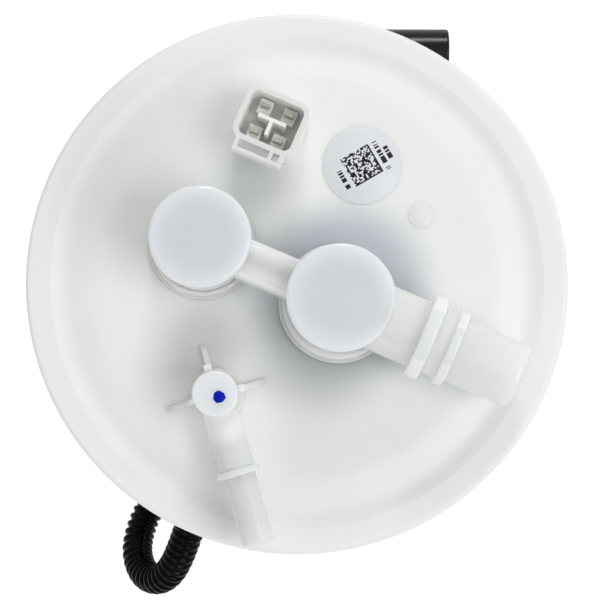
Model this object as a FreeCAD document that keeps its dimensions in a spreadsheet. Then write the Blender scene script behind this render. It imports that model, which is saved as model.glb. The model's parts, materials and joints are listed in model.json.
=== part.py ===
import FreeCAD, Part
import math
import operator
import os

import Sketcher

# Fuel pump module, in millimetres. The origin is the flange axis on its underside, +Z is up and +X runs
# along the vent spigot. The flange closes the tank; the sprung reservoir below carries pump and filter.

V = FreeCAD.Vector
DRIVING_SIZES = {
    # Flange plate
    "flange_radius": 66.3,
    "rim_width": 6.0,
    "rim_top": 4.0,
    "rim_round": 1.2,
    "valley_reach": 3.5,
    "valley_top": 3.0,
    "shoulder_reach": 7.3,
    "panel_top": 5.0,
    "panel_under": 1.5,
    "shoulder_round": 14.0,
    "valley_round": 5.0,
    "skirt_inset": 8.8,
    "skirt_wall": 2.4,
    "skirt_depth": 12.0,
    "skirt_round": 0.8,
    "panel_round": 1.0,
    "rib_count": 8,
    "rib_thick": 1.6,
    "rib_valve_gap": 0.8,
    "rib_depth": 5.0,
    "rib_turn": 11.0,
    # Tank seal
    "seal_gap": 0.3,
    "seal_width": 4.6,
    "seal_height": 3.2,
    "seal_round": 0.8,
    # Vent valves and the manifold on top of them
    "fill_x": -24.4,
    "vent_x": 11.4,
    "valve_y": -1.3,
    "tower_radius": 10.8,
    "tower_bore": 8.8,
    "tower_top": 6.5,
    "cap_wall_radius": 11.3,
    "cap_roof": 2.2,
    "fill_cap_radius": 12.0,
    "fill_cap_top": 25.0,
    "fill_cap_rim": 3.6,
    "vent_cap_radius": 12.7,
    "vent_cap_top": 24.2,
    "vent_cap_rim": 3.4,
    "vent_step_radius": 12.0,
    "vent_step_low": 17.0,
    "cap_round": 0.9,
    "bridge_width": 9.8,
    "bridge_low": 11.6,
    "bridge_top": 20.0,
    "bridge_round": 2.6,
    "bridge_bore": 3.1,
    "spigot_axis": 15.5,
    "spigot_neck": 8.25,
    "spigot_tip_radius": 7.91,
    "spigot_bore": 6.3,
    "spigot_end": 57.6,
    "stop_collar_start": 32.1,
    "stop_collar_thick": 3.2,
    "stop_collar_radius": 10.4,
    "latch_collar_start": 39.0,
    "latch_collar_thick": 2.2,
    "latch_collar_radius": 9.45,
    "collar_round": 0.5,
    "spigot_tip_round": 1.6,
    # Feed elbow
    "feed_x": -6.8,
    "feed_y": -33.4,
    "feed_turn": -50.3,
    "column_radius": 4.6,
    "column_cap_radius": 5.35,
    "column_cap_thick": 2.2,
    "column_top": 19.2,
    "column_bore": 2.4,
    "foot_radius": 6.6,
    "foot_thick": 1.2,
    "foot_round": 0.4,
    "column_round": 0.5,
    "feed_axis": 13.5,
    "feed_neck": 4.3,
    "feed_tip_radius": 3.945,
    "feed_bore": 2.5,
    "feed_collar_start": 18.4,
    "feed_collar_thick": 1.6,
    "feed_collar_radius": 5.1,
    "feed_end": 36.6,
    "feed_tip_round": 0.9,
    "fin_thick": 1.3,
    "fin_reach": 7.2,
    "fin_top": 17.0,
    "fin_rib_reach": 12.4,
    "fin_rib_top": 6.4,
    "fin_chamfer": 0.6,
    # Hose nipples
    "nipple_radius": 3.1,
    "nipple_length": 10.0,
    "nipple_shoulder": 5.2,
    "nipple_shoulder_low": -6.0,
    "nipple_bore": 2.0,
    "hose_outer": 4.25,
    "hose_inner": 3.25,
    # Plug socket
    "plug_x": -20.5,
    "plug_y": 31.6,
    "plug_wide": 16.0,
    "plug_deep": 13.8,
    "plug_top": 17.0,
    "plug_wall": 1.3,
    "plug_floor": 2.0,
    "plug_round": 3.0,
    "key_wide": 7.2,
    "key_thick": 0.9,
    "key_stem": 3.4,
    "key_top": 15.6,
    "bridge_reach": 2.9,
    "latch_wide": 12.4,
    "latch_wall": 1.0,
    "latch_height": 5.0,
    "latch_mid": 2.6,
    "blade_wide": 2.2,
    "blade_thick": 0.8,
    "blade_pitch_x": 6.2,
    "blade_pitch_y": 6.8,
    "blade_top": 14.5,
    "blade_low": -8.0,
    "blade_gap": 0.05,
    # Guide rods and springs
    "rod_turn": 35.0,
    "sleeve_case_gap": 0.65,
    "rod_radius": 4.0,
    "rod_wall": 1.0,
    "rod_top": -2.0,
    "rod_tail": 3.4,
    "rod_boss_radius": 6.6,
    "rod_boss_low": -20.0,
    "clip_radius": 5.6,
    "clip_thick": 1.2,
    "clip_gap": 0.1,
    "spring_wire": 0.75,
    "spring_radius": 5.6,
    "spring_turns": 10,
    "spring_sides": 8,
    "spring_gap": 0.3,
    # Float valves under the flange
    "valve_collar_radius": 12.8,
    "valve_collar_thick": 1.6,
    "valve_radius": 10.8,
    "valve_wall": 1.5,
    "valve_seat_thick": 2.0,
    "valve_orifice": 2.6,
    "valve_window": 3.0,
    "valve_round": 0.5,
    "fill_depth": 40.0,
    "roll_depth": 32.0,
    "valve_cap_thick": 2.0,
    "valve_cap_post": 2.6,
    "valve_float_radius": 8.5,
    "valve_float_gap": 4.3,
    "valve_float_round": 0.9,
    "float_pocket": 3.0,
    "post_gap": 0.5,
    "post_seat_gap": 0.3,
    "valve_lift": 4.0,
    "needle_radius": 2.0,
    "needle_length": 4.0,
    "needle_tip_radius": 1.4,
    "needle_gap": 0.6,
    "seal_disc_gap": 0.1,
    "seal_disc_low": 0.05,
    "seal_disc_thick": 0.95,
    "valve_spring_radius": 4.4,
    "valve_spring_wire": 0.4,
    "valve_spring_turns": 2,
    "valve_spring_gap": 0.1,
    # Reservoir cup
    "cup_radius": 54.0,
    "cup_wall": 2.0,
    "cup_top": -95.0,
    "cup_low": -183.0,
    "cup_floor": 2.0,
    "cup_lip": 1.0,
    "cup_lip_height": 4.0,
    "web_wide": 7.0,
    "cup_round": 4.0,
    "foot_pad_radius": 5.0,
    "foot_pad_height": 2.0,
    "foot_pad_inset": 24.0,
    "case_rib_count": 3,
    "case_rib_hold": 5.0,
    "case_rib_thick": 2.0,
    "case_rib_turn": 10.0,
    "sleeve_radius": 7.3,
    "sleeve_top": -104.0,
    "sleeve_length": 56.0,
    "guide_length": 10.0,
    "guide_gap": 0.08,
    "sleeve_bore": 6.2,
    # Filter
    "case_radius": 36.0,
    "case_wall": 2.0,
    "case_top": -88.0,
    "case_low": -152.0,
    "case_tube_gap": 0.75,
    "case_tube_wall": 1.8,
    "case_lip_reach": 4.0,
    "case_round": 1.5,
    "cover_rim_thick": 2.0,
    "cover_thick": 4.0,
    "dome_inset": 21.0,
    "dome_height": 4.0,
    "rim_drop": 3.0,
    "pleat_side_gap": 0.6,
    "pleat_count": 28,
    "pleat_thick": 0.8,
    "pleat_gap": 0.3,
    "riser_x": -13.0,
    "riser_inset": 10.0,
    "riser_radius": 5.2,
    "riser_top": -70.5,
    "outlet_axis": -76.0,
    "outlet_shoulder": 7.0,
    "pump_plug_inset": 16.0,
    "pump_plug_y": 16.0,
    "pump_plug_wide": 11.0,
    "pump_plug_deep": 8.0,
    "pump_plug_height": 7.0,
    "pump_plug_wall": 1.3,
    "pump_plug_round": 1.5,
    "pump_plug_floor": 2.0,
    # Pump
    "can_radius": 19.0,
    "can_wall": 1.0,
    "can_top": -92.0,
    "can_low": -146.0,
    "pump_fit": 0.05,
    "pump_low": -150.0,
    "inlet_top": -144.0,
    "inlet_radius": 4.0,
    "inlet_low": -160.0,
    "inlet_bore": 2.5,
    "inlet_x": -8.0,
    "bearing_depth": 4.0,
    "shaft_end_gap": 0.6,
    "pump_round": 0.8,
    "plate_thick": 3.0,
    "plate_rim": 2.2,
    "impeller_side_gap": 0.35,
    "impeller_thick": 3.6,
    "impeller_gap": 0.2,
    "vane_count": 24,
    "vane_depth": 2.2,
    "vane_slot": 1.4,
    "shaft_radius": 1.5,
    "shaft_gap": 0.05,
    "air_gap": 0.7,
    "armature_low": -134.0,
    "armature_top": -107.0,
    "armature_slots": 8,
    "armature_slot_depth": 4.5,
    "armature_slot_wide": 2.6,
    "magnet_thick": 5.05,
    "magnet_past": 1.0,
    "magnet_gap": 8.0,
    "commutator_inset": 4.8,
    "commutator_low": -105.5,
    "commutator_top": -100.3,
    "brush_side": 4.0,
    "brush_place": 4.6,
    "brush_top": -97.0,
    "brush_gap": 0.3,
    "outlet_cap_low": -97.0,
    "outlet_cap_top": -89.6,
    "outlet_y": 9.0,
    "cushion_reach": 6.0,
    "cushion_step": 0.5,
    "sleeve_fit_low": 8.0,
    "sleeve_fit_high": 30.0,
    # Inlet strainer, regulator, jet pump and foot valve
    "sock_wide": 30.0,
    "sock_jet_gap": 6.6,
    "sock_low": -178.6,
    "sock_thick": 7.0,
    "sock_round": 7.0,
    "neck_radius": 6.2,
    "neck_overlap": 5.0,
    "regulator_inset": 10.0,
    "regulator_y": -8.0,
    "regulator_radius": 8.0,
    "regulator_sock_gap": 0.6,
    "regulator_neck": 4.0,
    "regulator_top_drop": 2.0,
    "regulator_tip_radius": 3.0,
    "regulator_tip": 3.0,
    "regulator_cone": 5.0,
    "regulator_clip_gap": 6.0,
    "regulator_clip_thick": 1.0,
    "regulator_clip_reach": 1.2,
    "regulator_seal_wire": 0.92,
    "socket_wall": 1.8,
    "socket_depth": 6.0,
    "regulator_gap": 0.1,
    "jet_wall_gap": 14.0,
    "jet_axis": -174.0,
    "jet_radius": 4.4,
    "jet_length": 32.0,
    "jet_bore": 2.0,
    "jet_throat": 1.6,
    "jet_mouth": 3.2,
    "jet_wall": 1.0,
    "jet_inlet": 8.0,
    "jet_taper": 4.0,
    "jet_throat_start": 14.0,
    "jet_flare": 8.0,
    "jet_stand_wide": 5.0,
    "jet_stand_long": 6.0,
    "jet_stand_bite": 2.6,
    "valve_hole": 6.0,
    "foot_valve_gap": 6.0,
    "foot_disc_radius": 7.8,
    "foot_disc_thick": 1.0,
    "foot_cage_radius": 10.0,
    "foot_cage_height": 4.6,
    "foot_cage_gap": 0.4,
    "foot_cage_lip": 2.0,
    "foot_cage_thick": 1.0,
    "foot_disc_gap": 0.05,
    # Level sender on the cup wall
    "sender_turn": 23.3,
    "rail_thick": 1.4,
    "rail_wide": 18.0,
    "rail_edge": 2.0,
    "sender_depth": 9.1,
    "sender_low": -142.0,
    "sender_top": -103.0,
    "sender_round": 1.2,
    "pivot_lift": 6.6,
    "pivot_level": -112.0,
    "pin_radius": 2.0,
    "pin_gap": 0.05,
    "pin_root": 1.0,
    "pin_past": 1.0,
    "hub_radius": 6.0,
    "hub_start": 1.4,
    "hub_thick": 6.0,
    "card_thick": 0.7,
    "card_edge": 1.0,
    "card_low": 4.0,
    "card_drop": 4.0,
    "wiper_gap": 0.15,
    "wiper_thick": 0.35,
    "wiper_wide": 3.0,
    "wiper_out": 2.0,
    "wiper_drop": 3.0,
    "wiper_long": 4.0,
    "wire_radius": 1.1,
    "wire_gap": 0.05,
    "wire_bend": 4.0,
    "wire_seat_wall": 1.2,
    "wire_end_gap": 0.5,
    "arm_reach": 32.0,
    "arm_drop": 48.0,
    "float_radius": 7.5,
    "float_start": 8.4,
    "float_end": 52.4,
    "float_round": 0.7,
    "float_bore_rest": 3.0,
}
# Sizes that follow from the ones above: each fits in, round or beside something else.
FOLLOWING_SIZES = {
    "rim_inner": lambda s: s.flange_radius - s.rim_width,
    "valley_radius": lambda s: s.rim_inner - s.valley_reach,
    "shoulder_radius": lambda s: s.valley_radius - s.shoulder_reach,
    "skirt_radius": lambda s: s.flange_radius - s.skirt_inset,
    "rib_inner": lambda s: s.valve_collar_radius - s.fill_x + s.rib_valve_gap,
    "seal_inner": lambda s: s.skirt_radius + s.seal_gap,
    "seal_outer": lambda s: s.seal_inner + s.seal_width,
    "rod_out": lambda s: s.case_radius + s.sleeve_case_gap + s.sleeve_radius,
    "rod_x": lambda s: s.rod_out * cosine(s.rod_turn),
    "rod_y": lambda s: s.rod_out * sine(s.rod_turn),
    "cup_inner": lambda s: s.cup_radius - s.cup_wall,
    "foot_pad_place": lambda s: s.cup_radius - s.foot_pad_inset,
    "case_rib_inner": lambda s: s.case_radius - s.case_rib_hold,
    "case_inner": lambda s: s.case_radius - s.case_wall,
    "case_tube_radius": lambda s: s.can_radius + s.case_tube_gap,
    "case_tube_outer": lambda s: s.case_tube_radius + s.case_tube_wall,
    "case_lip_radius": lambda s: s.can_radius - s.case_lip_reach,
    "dome_radius": lambda s: s.case_radius - s.dome_inset,
    "pleat_inner": lambda s: s.case_tube_outer + s.pleat_side_gap,
    "pleat_outer": lambda s: s.case_inner - s.pleat_side_gap,
    "riser_y": lambda s: s.riser_inset - s.case_radius,
    "pump_plug_x": lambda s: s.case_radius - s.pump_plug_inset,
    "can_inner": lambda s: s.can_radius - s.can_wall,
    "pump_inner": lambda s: s.can_inner - s.pump_fit,
    "impeller_radius": lambda s: s.pump_inner - s.plate_rim - s.impeller_side_gap,
    "magnet_inner": lambda s: s.pump_inner - s.magnet_thick,
    "armature_radius": lambda s: s.magnet_inner - s.air_gap,
    "commutator_radius": lambda s: s.armature_radius - s.commutator_inset,
    "cushion_inner": lambda s: s.can_radius - s.cushion_reach,
    "jet_y": lambda s: s.cup_inner - s.jet_wall_gap,
    "sock_long": lambda s: 2 * (s.jet_y - s.jet_radius - s.sock_jet_gap),
    "sock_top": lambda s: s.sock_low + s.sock_thick,
    "regulator_x": lambda s: s.case_radius - s.regulator_inset,
    "regulator_low": lambda s: s.sock_top + s.regulator_sock_gap,
    "foot_valve_x": lambda s: -(s.sock_wide / 2 + s.foot_cage_radius + s.foot_valve_gap),
    "rail_face": lambda s: s.cup_radius + s.rail_thick,
    "sender_face": lambda s: s.rail_face + s.sender_depth,
    "pivot_out": lambda s: s.rail_face + s.pivot_lift,
    "float_out": lambda s: s.pivot_out + s.arm_reach,
    "float_level": lambda s: s.pivot_level - s.arm_drop,
}
# The feed hose's route from the flange nipple, down and out past the rim, and back in to the filter outlet.
HOSE_ROUTE = [
    (-6.8, -33.4, -6.0),
    (-6.8, -33.4, -29.0),
    (-4.2, -51.0, -40.0),
    (-1.4, -69.5, -46.0),
    (-1.6, -84.0, -55.0),
    (-8.6, -87.6, -66.0),
    (-15.6, -80.0, -74.5),
    (-15.4, -63.0, -78.5),
    (-13.0, -47.0, -76.0),
    (-13.0, -33.0, -76.0),
]
PARTS_FOLDER = "parts"
# How far a cutting tool runs past a face, and how deep one solid reaches into the next.
PAST = 1.0

document = FreeCAD.newDocument("FuelPumpModule")
sheet = document.addObject("Spreadsheet::Sheet", "Sizes")
nodes = {}


class Length:
    """A number together with the sheet formula that it follows."""

    def __init__(self, number, formula):
        self.number = float(number)
        self.formula = formula

    def joined(self, other, sign, work):
        other = as_length(other)
        return Length(work(self.number, other.number), f"({self.formula} {sign} {other.formula})")

    def __add__(self, other):
        return self.joined(other, "+", operator.add)

    def __radd__(self, other):
        return as_length(other) + self

    def __sub__(self, other):
        return self.joined(other, "-", operator.sub)

    def __rsub__(self, other):
        return as_length(other) - self

    def __mul__(self, other):
        return self.joined(other, "*", operator.mul)

    def __rmul__(self, other):
        return as_length(other) * self

    def __truediv__(self, other):
        return self.joined(other, "/", operator.truediv)

    def __rtruediv__(self, other):
        return as_length(other) / self

    def __neg__(self):
        return 0 - self


class SheetSizes:
    """Gives each size of the sheet by its name."""

    def __getattr__(self, name):
        if name in FOLLOWING_SIZES:
            return FOLLOWING_SIZES[name](self)
        return Length(DRIVING_SIZES[name], f"Sizes.{name}")


S = SheetSizes()


def as_length(value):
    if isinstance(value, Length):
        return value
    return Length(value, f"({float(value)!r})")


def cosine(turn):
    return Length(math.cos(math.radians(turn.number)), f"cos({turn.formula} * 1 deg)")


def sine(turn):
    return Length(math.sin(math.radians(turn.number)), f"sin({turn.formula} * 1 deg)")


def fill_sheet():
    for row, (name, number) in enumerate(DRIVING_SIZES.items(), start=1):
        sheet.set(f"A{row}", name)
        sheet.set(f"B{row}", str(number))
        sheet.setAlias(f"B{row}", name)
    document.recompute()


def bind(item, **sizes):
    """Ties properties of an object to sheet formulas."""
    for name, size in sizes.items():
        size = as_length(size)
        setattr(item, name, size.number)
        item.setExpression(name, size.formula)


def move(item, x=0, y=0, z=0, turn=None):
    """Places an object, turned about +Z by an angle of the sheet where one is given."""
    if turn is not None:
        item.Placement = FreeCAD.Placement(V(0, 0, 0), FreeCAD.Rotation(V(0, 0, 1), turn.number))
        item.setExpression("Placement.Rotation.Angle", turn.formula)
    for axis, size in zip("xyz", (x, y, z)):
        size = as_length(size)
        setattr(item.Placement.Base, axis, size.number)
        item.setExpression(f"Placement.Base.{axis}", size.formula)
    return item


def lay_along(item, axis):
    """Turns an object built along +Z so that it runs along +X or -Y."""
    turns = {"x": FreeCAD.Rotation(V(0, 1, 0), 90), "-y": FreeCAD.Rotation(V(1, 0, 0), 90)}
    item.Placement = FreeCAD.Placement(item.Placement.Base, turns[axis])
    return item


def cylinder(name, radius, low, high, x=0, y=0):
    item = document.addObject("Part::Cylinder", name)
    bind(item, Radius=radius, Height=as_length(high) - low)
    return move(item, x, y, low)


def rod_along(name, axis, radius, length, x=0, y=0, z=0):
    item = document.addObject("Part::Cylinder", name)
    bind(item, Radius=radius, Height=length)
    return move(lay_along(item, axis), x, y, z)


def block(name, x, y, z):
    """A box from three (low, high) pairs."""
    item = document.addObject("Part::Box", name)
    spans = [(as_length(low), as_length(high)) for low, high in (x, y, z)]
    bind(item, Length=spans[0][1] - spans[0][0], Width=spans[1][1] - spans[1][0])
    bind(item, Height=spans[2][1] - spans[2][0])
    return move(item, *(low for low, _ in spans))


def centred(middle, width):
    """The (low, high) pair of a width about a middle."""
    half = as_length(width) / 2
    return (middle - half, middle + half)


def fuse(name, *items):
    item = document.addObject("Part::MultiFuse", name)
    item.Shapes = list(items)
    item.Refine = True
    return item


def cut(name, base, *tools):
    item = document.addObject("Part::Cut", name)
    item.Base = base
    item.Tool = tools[0] if len(tools) == 1 else fuse(f"{name}Tools", *tools)
    return item


def outline(body, role, corners):
    """A closed sketch on one of the body's planes. A corner is (across, up) or (across, up, rounding)."""
    plane = next(f for f in body.Origin.OriginFeatures if f.Role == role)
    sketch = body.newObject("Sketcher::SketchObject", f"{body.Name}Outline")
    sketch.AttachmentSupport = (plane, [""])
    sketch.MapMode = "FlatFace"
    points = [tuple(as_length(value) for value in corner) for corner in corners]
    places = [V(point[0].number, point[1].number, 0) for point in points]
    for start, end in zip(places, places[1:] + places[:1]):
        sketch.addGeometry(Part.LineSegment(start, end), False)
    line_before = [len(points) - 1, *range(len(points) - 1)]
    for index, before in enumerate(line_before):
        sketch.addConstraint(Sketcher.Constraint("Coincident", before, 2, index, 1))
    for index, point in enumerate(points):
        for kind, size in zip(("DistanceX", "DistanceY"), point):
            tie(sketch, Sketcher.Constraint(kind, -1, 1, index, 1, size.number), size)
    document.recompute()
    for index, point in enumerate(points):
        if len(point) == 3:
            arc = sketch.GeometryCount
            sketch.fillet(line_before[index], 2, point[2].number, True, True)
            tie(sketch, Sketcher.Constraint("Radius", arc, point[2].number), point[2])
    return sketch


def tie(sketch, constraint, size):
    number = sketch.addConstraint(constraint)
    sketch.setExpression(f"Constraints[{number}]", size.formula)


def revolved(name, corners):
    """A turned body: each corner gives a radius and a height."""
    body = document.addObject("PartDesign::Body", name)
    sketch = outline(body, "XZ_Plane", corners)
    feature = body.newObject("PartDesign::Revolution", f"{name}Turned")
    feature.Profile = sketch
    feature.ReferenceAxis = (sketch, ["V_Axis"])
    feature.Angle = 360
    return body


def prism(name, corners, low, high):
    """An upright body: each corner gives a place in X and Y."""
    body = document.addObject("PartDesign::Body", name)
    feature = body.newObject("PartDesign::Pad", f"{name}Pad")
    feature.Profile = outline(body, "XY_Plane", corners)
    bind(feature, Length=as_length(high) - low)
    return move(body, z=low)


def wall(name, role, corners, thick):
    """A plate of even thickness about one of the body's upright planes."""
    body = document.addObject("PartDesign::Body", name)
    feature = body.newObject("PartDesign::Pad", f"{name}Pad")
    feature.Profile = outline(body, role, corners)
    feature.Midplane = True
    bind(feature, Length=thick)
    return body


def rectangle(x, y, rounding=None):
    """Corners of a rectangle from two (low, high) pairs."""
    corners = [(x[0], y[0]), (x[1], y[0]), (x[1], y[1]), (x[0], y[1])]
    return corners if rounding is None else [(*corner, rounding) for corner in corners]


def spokes(name, span, thick, low, high, count, first_turn=0):
    """Equal blocks around +Z, each from one radius to another."""
    items = []
    for number in range(int(count.number)):
        spoke = prism(f"{name}{number}", rectangle(span, centred(0, thick)), low, high)
        items.append(move(spoke, z=low, turn=360 / count * number + first_turn))
    return items


def ring(name, inner, outer, low, high):
    return revolved(name, [(inner, low), (outer, low), (outer, high), (inner, high)])


def coil(name, radius, wire, low, high, turns, x=0, y=0):
    """A compression spring: a wire of even section swept along a helix."""
    helix = document.addObject("Part::Helix", f"{name}Helix")
    height = as_length(high) - low - 2 * as_length(wire)
    bind(helix, Radius=radius, Height=height, Pitch=height / turns)
    section = document.addObject("Part::RegularPolygon", f"{name}Section")
    section.Polygon = int(S.spring_sides.number)
    bind(section, Circumradius=wire)
    section.Placement = FreeCAD.Placement(V(0, 0, 0), FreeCAD.Rotation(V(1, 0, 0), 90))
    section.setExpression("Placement.Base.x", as_length(radius).formula)
    document.recompute()
    item = document.addObject("Part::Sweep", name)
    item.Sections = [section]
    item.Spine = (helix, [f"Edge{number + 1}" for number in range(len(helix.Shape.Edges))])
    item.Solid = True
    item.Frenet = True
    return move(item, x, y, as_length(low) + wire)


def smooth_route(points):
    """Straight runs joined by tangent arcs, as one wire, with its arcs' radii."""
    places = [V(*point) for point in points]
    edges, radii, start = [], [], places[0]
    for before, corner, after in zip(places, places[1:], places[2:]):
        into, out = corner - before, after - corner
        reach = 0.45 * min(into.Length, out.Length)
        half_turn = into.getAngle(out) / 2
        radii.append(reach / math.tan(half_turn))
        arc_start = corner - V(into).normalize() * reach
        arc_end = corner + V(out).normalize() * reach
        toward = (V(out).normalize() - V(into).normalize()).normalize()
        centre = corner + toward * (radii[-1] / math.cos(half_turn))
        middle = centre + (corner - centre).normalize() * radii[-1]
        edges.append(Part.LineSegment(start, arc_start).toShape())
        edges.append(Part.Arc(arc_start, middle, arc_end).toShape())
        start = arc_end
    edges.append(Part.LineSegment(start, places[-1]).toShape())
    return Part.Wire(edges), radii


def tube_along(wire, radius):
    """A solid of round section swept along a wire."""
    first = wire.Edges[0]
    direction = first.tangentAt(first.FirstParameter)
    section = Part.Wire([Part.Circle(first.valueAt(first.FirstParameter), direction, radius).toShape()])
    return wire.makePipeShell([section], True, False)


def shaped(name, shape):
    item = document.addObject("Part::Feature", name)
    item.Shape = shape
    return item


def keep(label, item):
    """Names a finished piece; its label is also its file's name."""
    item.Label = label
    nodes[label] = item
    return item


def rod_places():
    return ((S.rod_x, S.rod_y), (-S.rod_x, -S.rod_y))


def blade_places():
    half_x, half_y = S.blade_pitch_x / 2, S.blade_pitch_y / 2
    signs = ((-1, 1), (1, 1), (-1, -1), (1, -1))
    return [(S.plug_x + half_x * x, S.plug_y + half_y * y) for x, y in signs]


def blade_slots(name, low, high):
    """The slots that the contact blades pass through."""
    wide, thick = S.blade_wide + 2 * S.blade_gap, S.blade_thick + 2 * S.blade_gap
    return [block(f"{name}{number}", centred(x, wide), centred(y, thick), (low, high))
            for number, (x, y) in enumerate(blade_places())]


def make_flange():
    skirt_inner = S.skirt_radius - S.skirt_wall
    plate = revolved("FlangePlate", [
        (0, S.panel_under),
        (skirt_inner, S.panel_under, S.panel_round),
        (skirt_inner, -S.skirt_depth),
        (S.skirt_radius, -S.skirt_depth, S.skirt_round),
        (S.skirt_radius, 0),
        (S.flange_radius, 0, S.skirt_round),
        (S.flange_radius, S.rim_top, S.rim_round),
        (S.rim_inner, S.rim_top, S.skirt_round),
        (S.valley_radius, S.valley_top, S.valley_round),
        (S.shoulder_radius, S.panel_top, S.shoulder_round),
        (0, S.panel_top),
    ])
    solids, holes = [plate], []
    for name, x in (("Fill", S.fill_x), ("Vent", S.vent_x)):
        solids.append(cylinder(f"{name}Tower", S.tower_radius, S.panel_under, S.tower_top, x, S.valve_y))
        holes.append(cylinder(f"{name}TowerBore", S.tower_bore, S.panel_under - PAST, S.tower_top + PAST,
                              x, S.valve_y))
    for side, (x, y) in zip(("Right", "Left"), rod_places()):
        solids.append(cylinder(f"{side}RodBoss", S.rod_boss_radius, S.rod_boss_low, S.panel_under + PAST,
                               x, y))
        holes.append(cylinder(f"{side}RodSocket", S.rod_radius, S.rod_boss_low - PAST, S.rod_top, x, y))
    nipple_low = S.nipple_shoulder_low - S.nipple_length
    solids.append(cylinder("NippleShoulder", S.nipple_shoulder, S.nipple_shoulder_low, S.panel_under + PAST,
                           S.feed_x, S.feed_y))
    solids.append(cylinder("Nipple", S.nipple_radius, nipple_low, S.panel_under, S.feed_x, S.feed_y))
    holes.append(cylinder("NippleBore", S.nipple_bore, nipple_low - PAST, S.panel_top + PAST,
                          S.feed_x, S.feed_y))
    holes.extend(blade_slots("FlangeSlot", S.panel_under - PAST, S.panel_top + PAST))
    holes.append(ring("SealRoom", S.seal_inner, S.flange_radius + PAST, -S.seal_height - S.seal_gap, 0))
    solids.extend(flange_ribs())
    keep("flange", cut("Flange", fuse("FlangeSolids", *solids), *holes))


def flange_ribs():
    """Radial stiffening ribs on the underside, between the skirt and the panel's middle."""
    span = (S.rib_inner, S.skirt_radius - S.skirt_wall / 2)
    return spokes("Rib", span, S.rib_thick, S.panel_under - S.rib_depth, S.panel_under + PAST, S.rib_count,
                  S.rib_turn)


def make_tank_seal():
    keep("tank_seal", revolved("TankSeal", [
        (S.seal_inner, -S.seal_height, S.seal_round),
        (S.seal_outer, -S.seal_height, S.seal_round),
        (S.seal_outer, 0),
        (S.seal_inner, 0),
    ]))


def make_vent_manifold():
    fill_cap = revolved("FillCap", [
        (0, S.tower_top),
        (S.cap_wall_radius, S.tower_top),
        (S.cap_wall_radius, S.fill_cap_top - S.fill_cap_rim),
        (S.fill_cap_radius, S.fill_cap_top - S.fill_cap_rim, S.collar_round),
        (S.fill_cap_radius, S.fill_cap_top, S.cap_round),
        (0, S.fill_cap_top),
    ])
    vent_cap = revolved("VentCap", [
        (0, S.tower_top),
        (S.cap_wall_radius, S.tower_top),
        (S.cap_wall_radius, S.vent_step_low),
        (S.vent_step_radius, S.vent_step_low, S.collar_round),
        (S.vent_step_radius, S.vent_cap_top - S.vent_cap_rim),
        (S.vent_cap_radius, S.vent_cap_top - S.vent_cap_rim, S.collar_round),
        (S.vent_cap_radius, S.vent_cap_top, S.cap_round),
        (0, S.vent_cap_top),
    ])
    bridge = document.addObject("PartDesign::Body", "Bridge")
    pad = bridge.newObject("PartDesign::Pad", "BridgePad")
    half = S.bridge_width / 2
    pad.Profile = outline(bridge, "YZ_Plane", [
        (-half, S.bridge_low),
        (half, S.bridge_low),
        (half, S.bridge_top, S.bridge_round),
        (-half, S.bridge_top, S.bridge_round),
    ])
    bind(pad, Length=S.vent_x - S.fill_x)
    move(bridge, S.fill_x, S.valve_y)
    stop_end = S.stop_collar_start + S.stop_collar_thick
    latch_end = S.latch_collar_start + S.latch_collar_thick
    spigot = revolved("Spigot", [
        (0, 0),
        (S.spigot_neck, 0),
        (S.spigot_neck, S.stop_collar_start - S.vent_x),
        (S.stop_collar_radius, S.stop_collar_start - S.vent_x, S.collar_round),
        (S.stop_collar_radius, stop_end - S.vent_x, S.collar_round),
        (S.spigot_neck, stop_end - S.vent_x),
        (S.spigot_neck, S.latch_collar_start - S.vent_x),
        (S.latch_collar_radius, S.latch_collar_start - S.vent_x, S.collar_round),
        (S.latch_collar_radius, latch_end - S.vent_x, S.collar_round),
        (S.spigot_tip_radius, latch_end - S.vent_x),
        (S.spigot_tip_radius, S.spigot_end - S.vent_x, S.spigot_tip_round),
        (0, S.spigot_end - S.vent_x),
    ])
    move(lay_along(spigot, "x"), S.vent_x, S.valve_y, S.spigot_axis)
    for cap, x in ((fill_cap, S.fill_x), (vent_cap, S.vent_x)):
        move(cap, x, S.valve_y)
    solid = fuse("ManifoldSolid", fill_cap, vent_cap, bridge, spigot)
    low = S.tower_top - PAST
    chambers = [
        cylinder("FillChamber", S.tower_bore, low, S.fill_cap_top - S.cap_roof, S.fill_x, S.valve_y),
        cylinder("VentChamber", S.tower_bore, low, S.vent_cap_top - S.cap_roof, S.vent_x, S.valve_y),
        rod_along("BridgeBore", "x", S.bridge_bore, S.vent_x - S.fill_x, S.fill_x, S.valve_y,
                  (S.bridge_low + S.bridge_top) / 2),
        rod_along("SpigotBore", "x", S.spigot_bore, S.spigot_end - S.vent_x + PAST, S.vent_x, S.valve_y,
                  S.spigot_axis),
    ]
    keep("vent_manifold", cut("VentManifold", solid, *chambers))


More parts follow.
